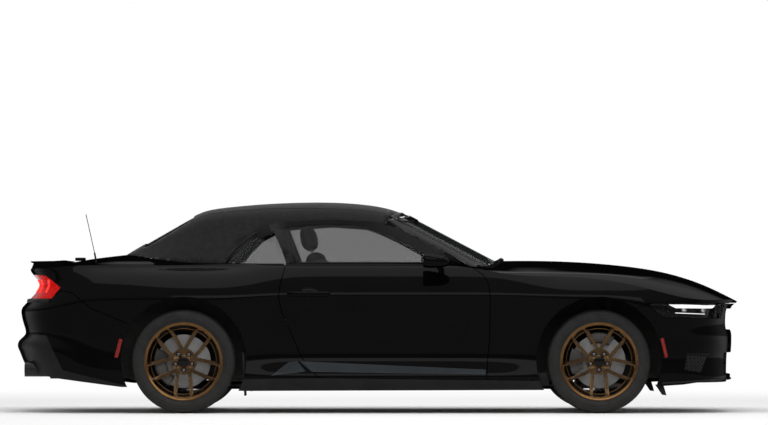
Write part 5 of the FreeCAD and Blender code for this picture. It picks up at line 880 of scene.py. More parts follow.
# %% Every painted panel
PANELS = ["bonnet", "boot_lid", "front_fenders", "rear_quarters", "door_right", "door_left", "front_bumper",
          "rear_bumper"]
for name in PANELS:
    piece = copy_of(name, name + "_panel")
    lay_on_sheets(piece, both_lookups)
    piece.data.materials.append(paint)
    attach(piece, nodes[name]["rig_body"])
    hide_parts(name)
for name in ("cowl", "side_skirts"):
    piece = copy_of(name, name + "_panel")
    lay_on_sheets(piece, both_lookups, 1)
    piece.data.materials.append(satin)
    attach(piece, "root")
    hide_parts(name)

# %% The satin lower part of the rear bumper
DIFFUSER_EDGE_PX = [(10.0, 335.0), (45.0, 335.0), (62.0, 370.0), (121.0, 384.0)]
DIFFUSER_Y = -0.90
corners = [at(px, py, DIFFUSER_Y) for px, py in DIFFUSER_EDGE_PX]
rear_skin = bpy.data.objects["rear_bumper_panel"]
rear_skin.data.materials.append(satin)
make_active(rear_skin)
planes = []
for (x0, z0), (x1, z1) in zip(corners, corners[1:]):
    normal = Vector((z1 - z0, 0, x0 - x1)).normalized()
    planes.append((Vector((x0, 0, z0)), normal))
    edit_all()
    bpy.ops.mesh.bisect(plane_co=(x0, 0, z0), plane_no=normal)
    edit_done()
satin_faces = 0
for face in rear_skin.data.polygons:
    below, behind, under = [(face.center - spot).dot(normal) > 0 for spot, normal in planes]
    if below and (behind or under):
        face.material_index = 1
        satin_faces += 1
print("satin faces on the rear bumper:", satin_faces)

# %% [markdown]
# ## Wheels
# Each wheel is an alloy casting in dark bronze lacquer with five pairs of thin spokes. The CAD part has the
# right form, so it is copied and its edges are smoothed by angle. Its faces then share out four finishes by
# where they are: the flats are dark bronze; their edges and the lip take a brighter bronze, a painted
# highlight; the barrel behind them takes a darker one, painted shade with some dust; and the deep middle
# is bare iron. A plain hub cap, a fine ring round the barrel in the brighter bronze, one more painted
# highlight, and five hexagon nuts with chamfered edges are added in front.

# %% Where the wheels are
CORNERS = {"front_right": (1.4555, -1), "front_left": (1.4555, 1), "rear_right": (-1.2645, -1),
           "rear_left": (-1.2645, 1)}
HUB_Z = 0.34
SMOOTH_ANGLE = math.radians(32)


def soften(offset, segments):
    """Rounds off every edge of the active object and smooths it by angle."""
    edit_all()
    bpy.ops.mesh.bevel(offset=offset, segments=segments, affect="EDGES")
    edit_done()
    bpy.ops.object.shade_smooth_by_angle(angle=SMOOTH_ANGLE)


def finished(name, materials, body, replaced=()):
    """The active object as a finished piece at the origin, riding on a body."""
    piece = bpy.context.object
    piece.name = name
    bpy.ops.object.transform_apply(location=True, rotation=True, scale=True)
    piece.data.materials.clear()
    for material in materials:
        piece.data.materials.append(material)
    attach(piece, body)
    if replaced:
        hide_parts(*replaced)
    return piece


def smooth_copy(node, name, material, angle=SMOOTH_ANGLE):
    """A copy of a CAD node whose soft edges are smoothed by angle."""
    copy_of(node, name)
    bpy.ops.object.shade_smooth_by_angle(angle=angle)
    return finished(name, [material], nodes[node]["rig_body"], [node])


def outer_face(corner):
    """How far from the car's middle plane the outer face of a wheel stands."""
    return max(abs(v.co.y) for v in bpy.data.objects["wheel_" + corner].data.vertices)


# %% Rims: dark flats, painted highlights on chamfers and lip, painted shade in the barrel
BARREL_LEAST = 0.10
BARREL_DEEP = 0.06
INWARDS_DEEP = 0.03
INWARDS_LEAST = 0.5
LIP_LEAST = 0.228
FLAT_LEAST = 0.93
PAINTED_HIGHLIGHT, BARREL, IRON = 1, 2, 3
for corner, (hub_x, _) in CORNERS.items():
    rim = smooth_copy("rim_" + corner, "wheel_" + corner, bronze)
    for material in (bronze_painted_highlight, barrel_shade_and_dust, disc_iron):
        rim.data.materials.append(material)
    face_y = outer_face(corner)
    counts = [0, 0, 0, 0]
    for face in rim.data.polygons:
        spoke = Vector((face.center.x - hub_x, 0, face.center.z - HUB_Z))
        deep = face_y - abs(face.center.y)
        inwards = spoke.length > BARREL_LEAST and face.normal.dot(spoke.normalized()) < -INWARDS_LEAST
        # Deep faces take the painted shade; edges and the lip take the painted highlight.
        if deep > BARREL_DEEP and spoke.length < BARREL_LEAST:
            face.material_index = IRON
        elif deep > BARREL_DEEP or (inwards and deep > INWARDS_DEEP):
            face.material_index = BARREL
        elif spoke.length > LIP_LEAST or abs(face.normal.y) < FLAT_LEAST:
            face.material_index = PAINTED_HIGHLIGHT
        counts[face.material_index] += 1
    print(rim.name, "faces per finish:", counts, "outer face at", round(face_y, 3))

# %% Wheel nuts, hub caps and barrel rings
NUT_CIRCLE = 0.057
NUT_RADIUS = 0.0115
NUT_HEIGHT = 0.022
NUT_CHAMFER = 0.0016
HUB_FACE_IN = 0.040
ALONG_AXLE = (math.radians(90), 0, 0)


def wheel_nut(hub_x, hub_y, turn):
    """A hexagon nut on the hub face, with chamfered edges."""
    place = (hub_x + NUT_CIRCLE * math.sin(turn), hub_y, HUB_Z + NUT_CIRCLE * math.cos(turn))
    bpy.ops.mesh.primitive_cylinder_add(vertices=6, radius=NUT_RADIUS, depth=NUT_HEIGHT, location=place,
                                        rotation=ALONG_AXLE)
    nut = bpy.context.object
    soften(NUT_CHAMFER, 2)
    return nut


def join_all(pieces, name):
    """Joins several objects into one and leaves it active."""
    make_active(pieces[0])
    for piece in pieces[1:]:
        piece.select_set(True)
    bpy.ops.object.transform_apply(location=True, rotation=True, scale=True)
    bpy.ops.object.join()
    bpy.context.object.name = name
    return bpy.context.object


CAP_RADIUS = 0.031
CAP_THICKNESS = 0.02
CAP_CHAMFER = 0.003
CAP_OUT = 0.016
STEP_RADIUS = 0.2155
STEP_BEAD = 0.0028
STEP_DEEP = 0.030
for corner, (hub_x, side) in CORNERS.items():
    face_y = outer_face(corner)
    cap_place = (hub_x, side * (face_y - HUB_FACE_IN + CAP_OUT), HUB_Z)
    bpy.ops.mesh.primitive_cylinder_add(vertices=48, radius=CAP_RADIUS, depth=CAP_THICKNESS,
                                        location=cap_place, rotation=ALONG_AXLE)
    soften(CAP_CHAMFER, 3)
    finished("hub_cap_" + corner, [piano], "wheel_" + corner)
    # A thin ring round the barrel in the brighter bronze: a painted highlight.
    step_place = (hub_x, side * (face_y - STEP_DEEP), HUB_Z)
    bpy.ops.mesh.primitive_torus_add(major_radius=STEP_RADIUS, minor_radius=STEP_BEAD, major_segments=120,
                                     minor_segments=8, location=step_place, rotation=ALONG_AXLE)
    bpy.ops.object.shade_smooth()
    finished("barrel_step_highlight_" + corner, [bronze_painted_highlight], "wheel_" + corner)
    nuts = [wheel_nut(hub_x, side * (face_y - HUB_FACE_IN), math.pi + i * math.tau / 5) for i in range(5)]
    join_all(nuts, "wheel_nuts_" + corner)
    finished("wheel_nuts_" + corner, [nut_steel], "wheel_" + corner)

# %% [markdown]
# ## Tyres
# A tyre is rubber moulded round a carcass: smooth bulging sidewalls with a few fine rings, and a tread cut
# by grooves that run round it and across its shoulders. Its section is drawn once as a line of points and
# spun round the axle. The cross grooves are then pushed in from chosen faces of the ribs. A displaced
# texture could show grooves too, but it would leave the outline round.

# %% The tyre's section: (distance from the middle of the tread, radius)
TYRE_HALF_SECTION = [
    (0.0975, 0.2430), (0.1080, 0.2445), (0.1135, 0.2500), (0.1180, 0.2560), (0.1165, 0.2600),
    (0.1205, 0.2680), (0.1238, 0.2800), (0.1246, 0.2860), (0.1250, 0.2872), (0.1246, 0.2884),
    (0.1240, 0.2960), (0.1228, 0.3030), (0.1232, 0.3042), (0.1222, 0.3056), (0.1190, 0.3150),
    (0.1140, 0.3250), (0.1065, 0.3320), (0.0980, 0.3358), (0.0680, 0.3380), (0.0670, 0.3310),
    (0.0590, 0.3312), (0.0580, 0.3386), (0.0260, 0.3396), (0.0250, 0.3325), (0.0170, 0.3327),
    (0.0160, 0.3400)]
TYRE_STEPS = 216
SPIN_MERGE = 0.0002
# The grooved ribs: from and to this distance from the middle, a groove every so many steps, and how many
# steps later on the other side.
RIBS = [(0.068, 0.107, 4, 0), (0.026, 0.058, 6, 3)]
GROOVE_DEPTH = 0.005


def spun(piece, steps, angle, centre):
    """Spins the active section round an axle and closes the result."""
    edit_all()
    bpy.ops.mesh.spin(steps=steps, angle=angle, center=centre, axis=(0, 1, 0))
    bpy.ops.mesh.select_all(action="SELECT")
    bpy.ops.mesh.remove_doubles(threshold=SPIN_MERGE)
    bpy.ops.mesh.normals_make_consistent(inside=False)
    edit_done()
    return piece


def tyre(corner, hub_x):
    """A tyre spun from its section, with grooves pushed in across its ribs."""
    ys = [v.co.y for v in nodes["tyre_" + corner].data.vertices]
    middle = (min(ys) + max(ys)) / 2
    section = TYRE_HALF_SECTION + [(-out, radius) for out, radius in reversed(TYRE_HALF_SECTION)]
    points = [(hub_x, middle + out, HUB_Z + radius) for out, radius in section]
    edges = [(i, i + 1) for i in range(len(section) - 1)]
    piece = spun(mesh_piece("tyre_section", points, edges, []), TYRE_STEPS, math.tau, (hub_x, middle, HUB_Z))
    grooves = set()
    for face in piece.data.polygons:
        out = face.center.y - middle
        turn = math.atan2(face.center.x - hub_x, face.center.z - HUB_Z) % math.tau
        step = int(turn / math.tau * TYRE_STEPS)
        for low, high, every, late in RIBS:
            shift = late if out > 0 else 0
            if low < abs(out) < high and (step + shift) % every == 0:
                grooves.add(face.index)
    select_faces(piece, grooves)
    bpy.ops.mesh.extrude_region_shrink_fatten(TRANSFORM_OT_shrink_fatten={"value": -GROOVE_DEPTH})
    edit_done()
    bpy.ops.object.shade_smooth_by_angle(angle=SMOOTH_ANGLE)
    return finished("tyre_" + corner + "_tread", [rubber], "wheel_" + corner, ["tyre_" + corner])


for corner, (hub_x, _) in CORNERS.items():
    piece = tyre(corner, hub_x)
    print(piece.name, len(piece.data.polygons), "faces")

# %% [markdown]
# ## Brakes
# Behind the spokes sits an iron disc and a caliper that grips its edge. The discs come from the CAD model. A
# caliper is a short arc-shaped casting, so a small section with cut corners is spun part of the way round
# the axle and its edges are rounded.

# %% Calipers
CALIPER_INNER = 0.120
CALIPER_OUTER = 0.192
CALIPER_ARC = math.radians(58)
CALIPER_TURN = {"front": math.radians(62), "rear": math.radians(-62)}
CALIPER_STEPS = 14
CALIPER_EDGE = 0.004
PAST_DISC_OUT = 0.012
PAST_DISC_IN = 0.030


def caliper(corner, hub_x, side):
    """A caliper that grips its disc: a section with cut corners, spun part of the way round the axle."""
    disc = [v.co for v in nodes["brake_disc_" + corner].data.vertices]
    low, high = min(p.y for p in disc), max(p.y for p in disc)
    outer = (high if side > 0 else low) + side * PAST_DISC_OUT
    inner = (low if side > 0 else high) - side * PAST_DISC_IN
    middle = CALIPER_TURN[corner.split("_")[0]]
    first = middle - CALIPER_ARC / 2
    ring = [(outer, CALIPER_INNER + 0.012), (outer, CALIPER_OUTER - 0.010),
            (outer - side * 0.008, CALIPER_OUTER), (inner + side * 0.010, CALIPER_OUTER),
            (inner, CALIPER_OUTER - 0.012), (inner, CALIPER_INNER), (outer - side * 0.008, CALIPER_INNER)]
    points = [(hub_x + radius * math.sin(first), y, HUB_Z + radius * math.cos(first)) for y, radius in ring]
    section = mesh_piece("caliper_section", points, [], [tuple(range(len(points)))])
    piece = spun(section, CALIPER_STEPS, CALIPER_ARC, (hub_x, 0, HUB_Z))
    modify(piece, "BEVEL", width=CALIPER_EDGE, segments=2)
    bpy.ops.object.shade_smooth_by_angle(angle=SMOOTH_ANGLE)
    body = "knuckle_" + corner if corner.startswith("front") else "root"
    return finished("brake_caliper_" + corner, [cast_iron], body)


for corner, (hub_x, side) in CORNERS.items():
    caliper(corner, hub_x, side)

# %% [markdown]
# ## Windows
# The side panes are gently curved, the windscreen and the rear window more so. Their CAD shapes are right
# and only need a smooth shine, so each is copied, smoothed by angle and given one of the two dark window
# finishes: the side panes let more of the background through than the other two.

# %% Panes
PANES = {"door_glass_right": tinted_glass, "door_glass_left": tinted_glass, "quarter_glass": tinted_glass,
         "rear_window": screen_glass, "windscreen": screen_glass}
for name, material in PANES.items():
    smooth_copy(name, name + "_pane", material, math.radians(40))
smooth_copy("windscreen_frame", "windscreen_surround", piano, math.radians(35))

# %% [markdown]
# ## The fabric top
# The top is one sheet of woven cloth stretched over hidden bows and held all round: to the windscreen's
# header, to the body behind, and over the side windows. The CAD part is a thick shell that stands for cloth,
# padding and bows together. Its outer faces, those from which a straight look outwards meets nothing, become
# the cloth, given a real thickness of a few millimetres. Its inner faces become the headliner. A cloth
# simulation could find this shape too, but the real sheet is pulled so tight that it hardly sags.

# %% Splitting the shell into cloth and headliner
CLOTH_THICKNESS = 0.0025
CLEAR_LOOK = 1.2
LOOK_START = 0.002
DOWNWARDS = -0.6


def shell_tree(piece):
    """The triangles of an object, ready to be asked where a straight look meets them."""
    mesh = piece.data
    points = [v.co.copy() for v in mesh.vertices]
    return BVHTree.FromPolygons(points, [tuple(p.vertices) for p in mesh.polygons])


def all_faces(piece):
    """The numbers of all faces of an object."""
    return {face.index for face in piece.data.polygons}


def keep_faces(piece, wanted):
    """Deletes every face that isn't wanted."""
    make_active(piece)
    select_faces(piece, all_faces(piece) - wanted)
    bpy.ops.mesh.delete(type="FACE")
    edit_done()


cloth = copy_of("soft_top", "fabric_top")
tree_of_shell = shell_tree(cloth)
outside = set()
for face in cloth.data.polygons:
    start = face.center + face.normal * LOOK_START
    if tree_of_shell.ray_cast(start, face.normal, CLEAR_LOOK)[0] is None and face.normal.z > DOWNWARDS:
        outside.add(face.index)
headliner = copy_of("soft_top", "headliner")
keep_faces(headliner, all_faces(cloth) - outside)
finished("headliner", [lining], "root", ["soft_top"])
bpy.ops.object.shade_smooth_by_angle(angle=math.radians(40))
keep_faces(cloth, outside)
bpy.ops.object.shade_smooth_by_angle(angle=math.radians(50))

# %% Giving the cloth its thickness
make_active(cloth)
modify(cloth, "SOLIDIFY", thickness=CLOTH_THICKNESS, offset=1.0)
finished("fabric_top", [top_cloth], "root", ["soft_top"])

# %% Seams over the roof
SEAM_HALF = 0.0022
SEAM_FRONT_X = 0.10
SEAM_STEP = 0.046
SEAM_STEPS = 34
SEAM_Y = 0.50
SEAM_NARROWS_FROM = 10
SEAM_NARROWS_BY = 0.0035
CROSS_SEAMS_X = (0.075, -1.00)
CROSS_STEP = 0.04


def on_top(x, y):
    """The height of the cloth at a place, or None beside it."""
    hit = tree_of_shell.ray_cast(Vector((x, y, 2.0)), Vector((0, 0, -1)))[0]
    return hit.z + CLOTH_THICKNESS if hit else None


def line_piece(name, points, radius, material, body, resolution=3):
    """A thin round bead along a line of points, as a mesh."""
    data = bpy.data.curves.new(name, "CURVE")
    data.dimensions = "3D"
    data.bevel_depth = radius
    data.bevel_resolution = resolution
    data.use_fill_caps = True
    spline = data.splines.new("NURBS")
    spline.points.add(len(points) - 1)
    for point, co in zip(spline.points, points):
        point.co = (*co, 1.0)
    spline.order_u = 3
    spline.use_endpoint_u = True
    spline.resolution_u = 4
    piece = bpy.data.objects.new(name, data)
    scene.collection.objects.link(piece)
    make_active(piece)
    bpy.ops.object.convert(target="MESH")
    bpy.ops.object.shade_smooth()
    return finished(name, [material], body)


seams = []
for side, word in ((-1, "right"), (1, "left")):
    points = []
    for i in range(SEAM_STEPS):
        x = SEAM_FRONT_X - i * SEAM_STEP
        y = side * (SEAM_Y - SEAM_NARROWS_BY * max(i - SEAM_NARROWS_FROM, 0))
        z = on_top(x, y)
        if z:
            points.append((x, y, z))
    seams.append(line_piece("roof_seam_" + word, points, SEAM_HALF, seal_rubber, "root"))
for i, x in enumerate(CROSS_SEAMS_X):
    across = [step * CROSS_STEP for step in range(-12, 13)]
    points = [(x, y, on_top(x, y)) for y in across if on_top(x, y)]
    seams.append(line_piece("roof_cross_seam_%d" % (i + 1), points, SEAM_HALF, seal_rubber, "root"))

# %% The weatherstrip between the top's front edge and the windscreen's header
FRONT_EDGE = [(0.024, -0.62), (0.048, -0.59), (0.082, -0.517), (0.125, -0.383), (0.158, -0.191), (0.168, 0.0)]
STRIP_RADIUS = 0.019
HEADER_CAP_RADIUS = 0.030
HEADER_CAP_HALF = 0.53
points = []
for x, y in FRONT_EDGE + [(x, -y) for x, y in reversed(FRONT_EDGE[:-1])]:
    z = on_top(x - 0.03, y)
    if z:
        points.append((x + 0.006, y, z - 0.026))
seams.append(line_piece("header_weatherstrip", points, STRIP_RADIUS, seal_rubber, "root"))
middle = [(x - 0.004, y, z - 0.010) for x, y, z in points if abs(y) < HEADER_CAP_HALF]
seams.append(line_piece("header_cap", middle, HEADER_CAP_RADIUS, piano, "root"))
print("seams and strips:", len(seams))

# %% [markdown]
# ## Headlamps
# A headlamp is a dark box closed by a clear lens that follows the body's skin. Inside it a bright guide
# marks the top edge by day, a thinner one the lower edge, and two round projectors throw the beam. The CAD
# part fills the box, so its outer faces become the lens and the others the housing. The projectors are
# short tubes, each with a bright dome. The tail lamps are parted in the same way, with a red lens.

# %% Lenses and housings
def faces_on_skin(piece):
    """The numbers of the faces that lie on one of the sheets."""
    return {face.index for face in piece.data.polygons if sheet_under(face.center, face.normal, both_lookups)}


def split_lamp(node, lens_name, lens_material, housing_name):
    """Parts a lamp's outer faces from the rest, as a lens and a housing."""
    lens = copy_of(node, lens_name)
    housing = copy_of(node, housing_name)
    keep_faces(housing, all_faces(housing) - faces_on_skin(lens))
    bpy.ops.object.shade_smooth_by_angle(angle=SMOOTH_ANGLE)
    finished(housing_name, [piano], nodes[node]["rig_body"], [node])
    lay_on_sheets(lens, both_lookups)
    outer = faces_on_skin(lens)
    keep_faces(lens, outer)
    finished(lens_name, [lens_material], nodes[node]["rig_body"], [node])
    print(lens_name, len(outer), "faces on the skin")


split_lamp("headlamps", "headlamp_lenses", lamp_glass, "headlamp_housings")
split_lamp("tail_lamps", "tail_lamp_lenses", red_glass, "tail_lamp_housings")

# %% A place on the skin, seen from the side
skin_tree = side_lookup.tree


def skin_place(px, py, sink=0.0, side=-1):
    """Where a pixel of the photograph meets the side skin, moved inwards by sink; also the direction out."""
    y = -HALF_WIDTH
    for _ in range(4):
        x, z = at(px, py, y)
        hit = skin_tree.ray_cast(Vector((x, -2.0, z)), Vector((0, 1, 0)))
        if hit[0] is None:
            return None, None
        y = hit[0].y
    _, out, _ = side_lookup.nearest(hit[0])
    spot = hit[0] - out * sink
    if side > 0:
        return Vector((spot.x, -spot.y, spot.z)), Vector((out.x, -out.y, out.z))
    return spot, out


def skin_line(pixels, sink=0.0, side=-1, steps=6):
    """A line of places on the skin under a line of pixels."""
    points = []
    for (xa, ya), (xb, yb) in zip(pixels, pixels[1:]):
        for i in range(steps):
            share = i / steps
            spot, _ = skin_place(share_between(xa, xb, share), share_between(ya, yb, share), sink, side)
            if spot:
                points.append(spot)
    spot, _ = skin_place(*pixels[-1], sink, side)
    if spot:
        points.append(spot)
    return points


# %% A plate laid on the skin
PLATE_SUNK = 1.6
PLATE_LEAST = 0.003


def plate_on_skin(name, pixels, side, proud, material, body="root", cuts=3, bevel=0.0015):
    """A thin plate laid on the skin inside a four-sided outline of pixels."""
    corners = [skin_place(*pixel, 0.0, side)[0] for pixel in pixels]
    piece = mesh_piece(name, corners, [], [(0, 1, 2, 3)])
    edit_all()
    bpy.ops.mesh.subdivide(number_cuts=cuts)
    edit_done()
    for vertex in piece.data.vertices:
        spot, out, _ = side_lookup.nearest(vertex.co)
        vertex.co = spot + out * proud
    if piece.data.polygons[0].normal.y * side < 0:
        edit_all()
        bpy.ops.mesh.flip_normals()
        edit_done()
    modify(piece, "SOLIDIFY", thickness=max(abs(proud) * PLATE_SUNK, PLATE_LEAST), offset=-1.0)
    modify(piece, "BEVEL", width=bevel, segments=2)
    bpy.ops.object.shade_smooth_by_angle(angle=SMOOTH_ANGLE)
    return finished(name, [material], body)


# %% Daylight guides and projectors
SIDES = (("right", -1), ("left", 1))
GUIDE_PX = [(669, 304.2), (716.5, 305.4), (713.5, 308.4), (677, 308.0)]
LOWER_GUIDE_PX = [(676, 312.8), (690, 313.4), (706, 314.0)]
PROJECTORS_PX = [(686, 309.6), (706, 310.4)]
PROJECTOR_RADIUS = 0.019
PROJECTOR_SINK = 0.030


def projector(name, spot, out, radius):
    """A short tube with a sunk face behind its rim, and a dome in it, looking outwards."""
    turn = out.to_track_quat("Z", "Y").to_euler()
    bpy.ops.mesh.primitive_cylinder_add(vertices=32, radius=radius, depth=0.03, location=spot - out * 0.01,
                                        rotation=turn)
    tube = bpy.context.object
    select_faces(tube, {face.index for face in tube.data.polygons if face.normal.z > 0.9})
    bpy.ops.mesh.inset(thickness=0.003)
    bpy.ops.transform.translate(value=out * -0.008)
    edit_done()
    bpy.ops.mesh.primitive_uv_sphere_add(segments=24, ring_count=12, radius=radius * 0.8,
                                         location=spot - out * 0.005, rotation=turn)
    dome = bpy.context.object
    bpy.ops.transform.resize(value=(1, 1, 0.7), orient_type="LOCAL")
    join_all([tube, dome], name)
    bpy.ops.object.shade_smooth_by_angle(angle=SMOOTH_ANGLE)


for word, side in SIDES:
    plate_on_skin("daylight_guide_" + word, GUIDE_PX, side, -0.008, white_lamp)
    lower_line = skin_line(LOWER_GUIDE_PX, 0.012, side)
    line_piece("lower_guide_" + word, lower_line, 0.0025, white_lamp, "root")
    for i, place_px in enumerate(PROJECTORS_PX):
        spot, out = skin_place(*place_px, PROJECTOR_SINK, side)
        if spot:
            projector("lamp_projector_%s_%d" % (word, i + 1), spot, out, PROJECTOR_RADIUS)
            finished("lamp_projector_%s_%d" % (word, i + 1), [bright_steel], "root")

# %% [markdown]
# ## Tail lamps
# Each tail lamp is a red lens over four upright bars of light. The bars are round tubes behind the lens.
# Their places are found by looking forwards at the lamp from behind.

# %% Upright bars behind the red lens
tail_tree = shell_tree(nodes["tail_lamps"])
BAR_PLACES = (0.49, 0.57, 0.65, 0.73)
BAR_SINK = 0.004
BAR_STEPS = 9
BAR_FOOT_Z = 0.775
BAR_STEP = 0.0145
BAR_RADIUS = 0.010


def tail_bar(name, y):
    """One upright bar just inside the lens, at a distance from the car's middle."""
    points = []
    for i in range(BAR_STEPS):
        z = BAR_FOOT_Z + i * BAR_STEP
        hit = tail_tree.ray_cast(Vector((-3.0, y, z)), Vector((1, 0, 0)))[0]
        if hit:
            points.append(hit + Vector((BAR_SINK, 0, 0)))
    if len(points) > 3:
        line_piece(name, points[1:-1], BAR_RADIUS, red_bar, "root")


for word, side in SIDES:
    for i, y in enumerate(BAR_PLACES):
        tail_bar("tail_bar_%s_%d" % (word, i + 1), side * y)

# %% [markdown]
# ## Side markers
# Small red reflectors sit low on the bumpers, ahead of the front wheel and behind the rear one. They are thin
# moulded lenses with a rounded edge, so a flat plate is laid on the skin, and its rim is rounded off.

# %% Marker lenses
MARKERS_PX = {"front": [(660.5, 338.5), (663.5, 337.5), (668.0, 356.5), (665.0, 357.5)],
              "rear": [(119.0, 338.5), (122.6, 339.0), (117.8, 357.5), (114.4, 357.0)]}
MARKER_PROUD = 0.0025
for word, side in SIDES:
    for end, pixels in MARKERS_PX.items():
        plate_on_skin("side_marker_%s_%s" % (end, word), pixels, side, MARKER_PROUD, red_solid)

# %% [markdown]
# ## Door handles
# A handle is a bar that stands just proud of a shallow dish. The bar is a block with rounded edges whose
# ends bend in towards the door. The dish is a flattened ball in body paint, let into the skin, because the
# real dish is seen only as an oval around the bar.

# %% Handles
HANDLE_PX = (308.5, 294.2)
HANDLE_SIZE = (0.285, 0.020, 0.036)
HANDLE_PROUD = 0.007
HANDLE_END_BEND = 0.007
DISH_SIZE = (0.150, 0.014, 0.088)
DISH_SINK = 0.004
BAR_SOFTNESS = 0.42


def rounded_bar(place, size, levels=2):
    """A block rounded by subdivision into a bar with soft ends."""
    bpy.ops.mesh.primitive_cube_add(size=1, location=place, scale=size)
    bpy.ops.object.transform_apply(location=False, rotation=False, scale=True)
    bar = bpy.context.object
    modify(bar, "BEVEL", width=min(size) * BAR_SOFTNESS, segments=2)
    modify(bar, "SUBSURF", levels=levels, render_levels=levels)
    bpy.ops.object.shade_smooth()
    return bar


def door_handle(word, side):
    """The dish and the bar of one door's handle."""
    body = "door_" + word
    spot, out = skin_place(*HANDLE_PX, 0.0, side)
    bpy.ops.mesh.primitive_uv_sphere_add(segments=48, ring_count=24, radius=0.5,
                                         location=spot - out * DISH_SINK, scale=DISH_SIZE)
    bpy.ops.object.transform_apply(location=False, rotation=False, scale=True)
    bpy.ops.object.shade_smooth()
    finished("handle_dish_" + word, [paint], body)
    bar = rounded_bar(spot + out * HANDLE_PROUD, HANDLE_SIZE)
    for vertex in bar.data.vertices:
        vertex.co.y -= side * HANDLE_END_BEND * (abs(vertex.co.x) / HANDLE_SIZE[0] * 2) ** 4
    finished("handle_bar_" + word, [paint], body)


for word, side in SIDES:
    door_handle(word, side)

# %% The cap over the latch in the windscreen's header
LATCH_CAP_PLACE = (0.186, 0.0, 1.296)
LATCH_CAP_SIZE = (0.044, 0.62, 0.032)
rounded_bar(LATCH_CAP_PLACE, LATCH_CAP_SIZE)
finished("header_latch_cap", [piano], "root")

# %% [markdown]
# ## Mirrors
# A door mirror is a rounded shell, painted like the body, on a short foot of gloss plastic, with a flat
# glass facing the driver. The shell starts as a ball. It is squared off, cut flat at the back, where the
# glass is, and slimmed towards its front. The foot is a bead between the shell and the door.

# %% Mirror shells, feet and glasses
MIRROR_CENTRE = (0.376, 0.972, 1.006)
MIRROR_SIZE = (0.200, 0.190, 0.108)
MIRROR_SQUARE = 0.66
MIRROR_BACK = -0.72
MIRROR_SLIM = 0.22
MIRROR_LEAN = -0.16
MIRROR_GLASS_SIZE = (0.004, 0.140, 0.070)
MIRROR_FOOT = [(0.425, 0.840, 0.930), (0.425, 0.870, 0.936), (0.415, 0.905, 0.950), (0.395, 0.945, 0.978)]
MIRROR_FOOT_RADIUS = 0.019


def mirror(word, side):
    """The shell, the foot and the glass of one door's mirror."""
    x, y, z = MIRROR_CENTRE
    bpy.ops.mesh.primitive_uv_sphere_add(segments=64, ring_count=32, radius=1, location=(x, side * y, z))
    shell = bpy.context.object
    for vertex in shell.data.vertices:
        u, v, w = [math.copysign(abs(value) ** MIRROR_SQUARE, value) for value in vertex.co]
        u = max(u, MIRROR_BACK)
        slim = 1.0 - MIRROR_SLIM * (u - MIRROR_BACK)
        lean = MIRROR_LEAN * (u + 1) * MIRROR_SIZE[2] / 2
        vertex.co = (u * MIRROR_SIZE[0] / 2, v * MIRROR_SIZE[1] / 2 * slim,
                     w * MIRROR_SIZE[2] / 2 * slim + lean)
    bpy.ops.object.shade_smooth_by_angle(angle=SMOOTH_ANGLE)
    finished("mirror_shell_" + word, [paint], "door_" + word, ["mirror_" + word])
    foot = [(foot_x, side * foot_y, foot_z) for foot_x, foot_y, foot_z in MIRROR_FOOT]
    line_piece("mirror_foot_" + word, foot, MIRROR_FOOT_RADIUS, piano, "door_" + word, 6)
    rounded_bar((x + MIRROR_BACK * MIRROR_SIZE[0] / 2 + 0.0014, side * y, z - 0.002), MIRROR_GLASS_SIZE)
    finished("mirror_glass_" + word, [bright_steel], "door_" + word)


for word, side in SIDES:
    mirror(word, side)

# %% [markdown]
# ## Window seals and pillar strips
# Where glass meets paint or cloth there is always a rubber lip. Along the belt it wipes the glass as it goes
# down; over the window it is the top's own gutter. Each is a slim bead along the edge it seals. Flat black
# bands, read off the photograph, stand just inside the glass along the window's upper edge and between the
# door glass and the rear quarter glass.

# %% Beads along the windows
glass_trees = {name: shell_tree(nodes[name])
               for name in ("door_glass_right", "door_glass_left", "quarter_glass")}


def glass_out(tree_of_glass, x, z, side):
    """How far out the outer face of a side window is at a place, or None beside it."""
    hit = tree_of_glass.ray_cast(Vector((x, side * 1.5, z)), Vector((0, -side, 0)))[0]
    return hit.y if hit and hit.y * side > 0 else None


BELT_FROM = -0.60
BELT_TO = 0.44
BELT_Z = 0.990
BELT_STEPS = 23
for word, side in SIDES:
    glass = glass_trees["door_glass_" + word]
    points = []
    for i in range(BELT_STEPS + 1):
        x = BELT_FROM + (BELT_TO - BELT_FROM) * i / BELT_STEPS
        y = glass_out(glass, x, BELT_Z, side)
        if y:
            points.append((x, y + side * 0.006, BELT_Z - 0.004))
    if len(points) > 3:
        line_piece("belt_seal_" + word, points, 0.0065, seal_rubber, "door_" + word, 2)

GUTTER_PX = [(226, 260.2), (237, 248.9), (255, 234.8), (270.4, 228.5), (288, 224.6), (310, 223.0),
             (331.6, 222.1), (352, 222.9), (370, 224.6), (386, 228.2)]
for word, side in SIDES:
    points = []
    for px, py in GUTTER_PX:
        x, z = at(px, py, -0.66)
        hit = tree_of_shell.ray_cast(Vector((x, side * 1.5, z + 0.012)), Vector((0, -side, 0)))[0]
        if hit and hit.y * side > 0.3:
            points.append((x, hit.y + side * 0.002, z + 0.010))
    if len(points) > 3:
        line_piece("gutter_" + word, points, 0.007, piano, "root", 2)


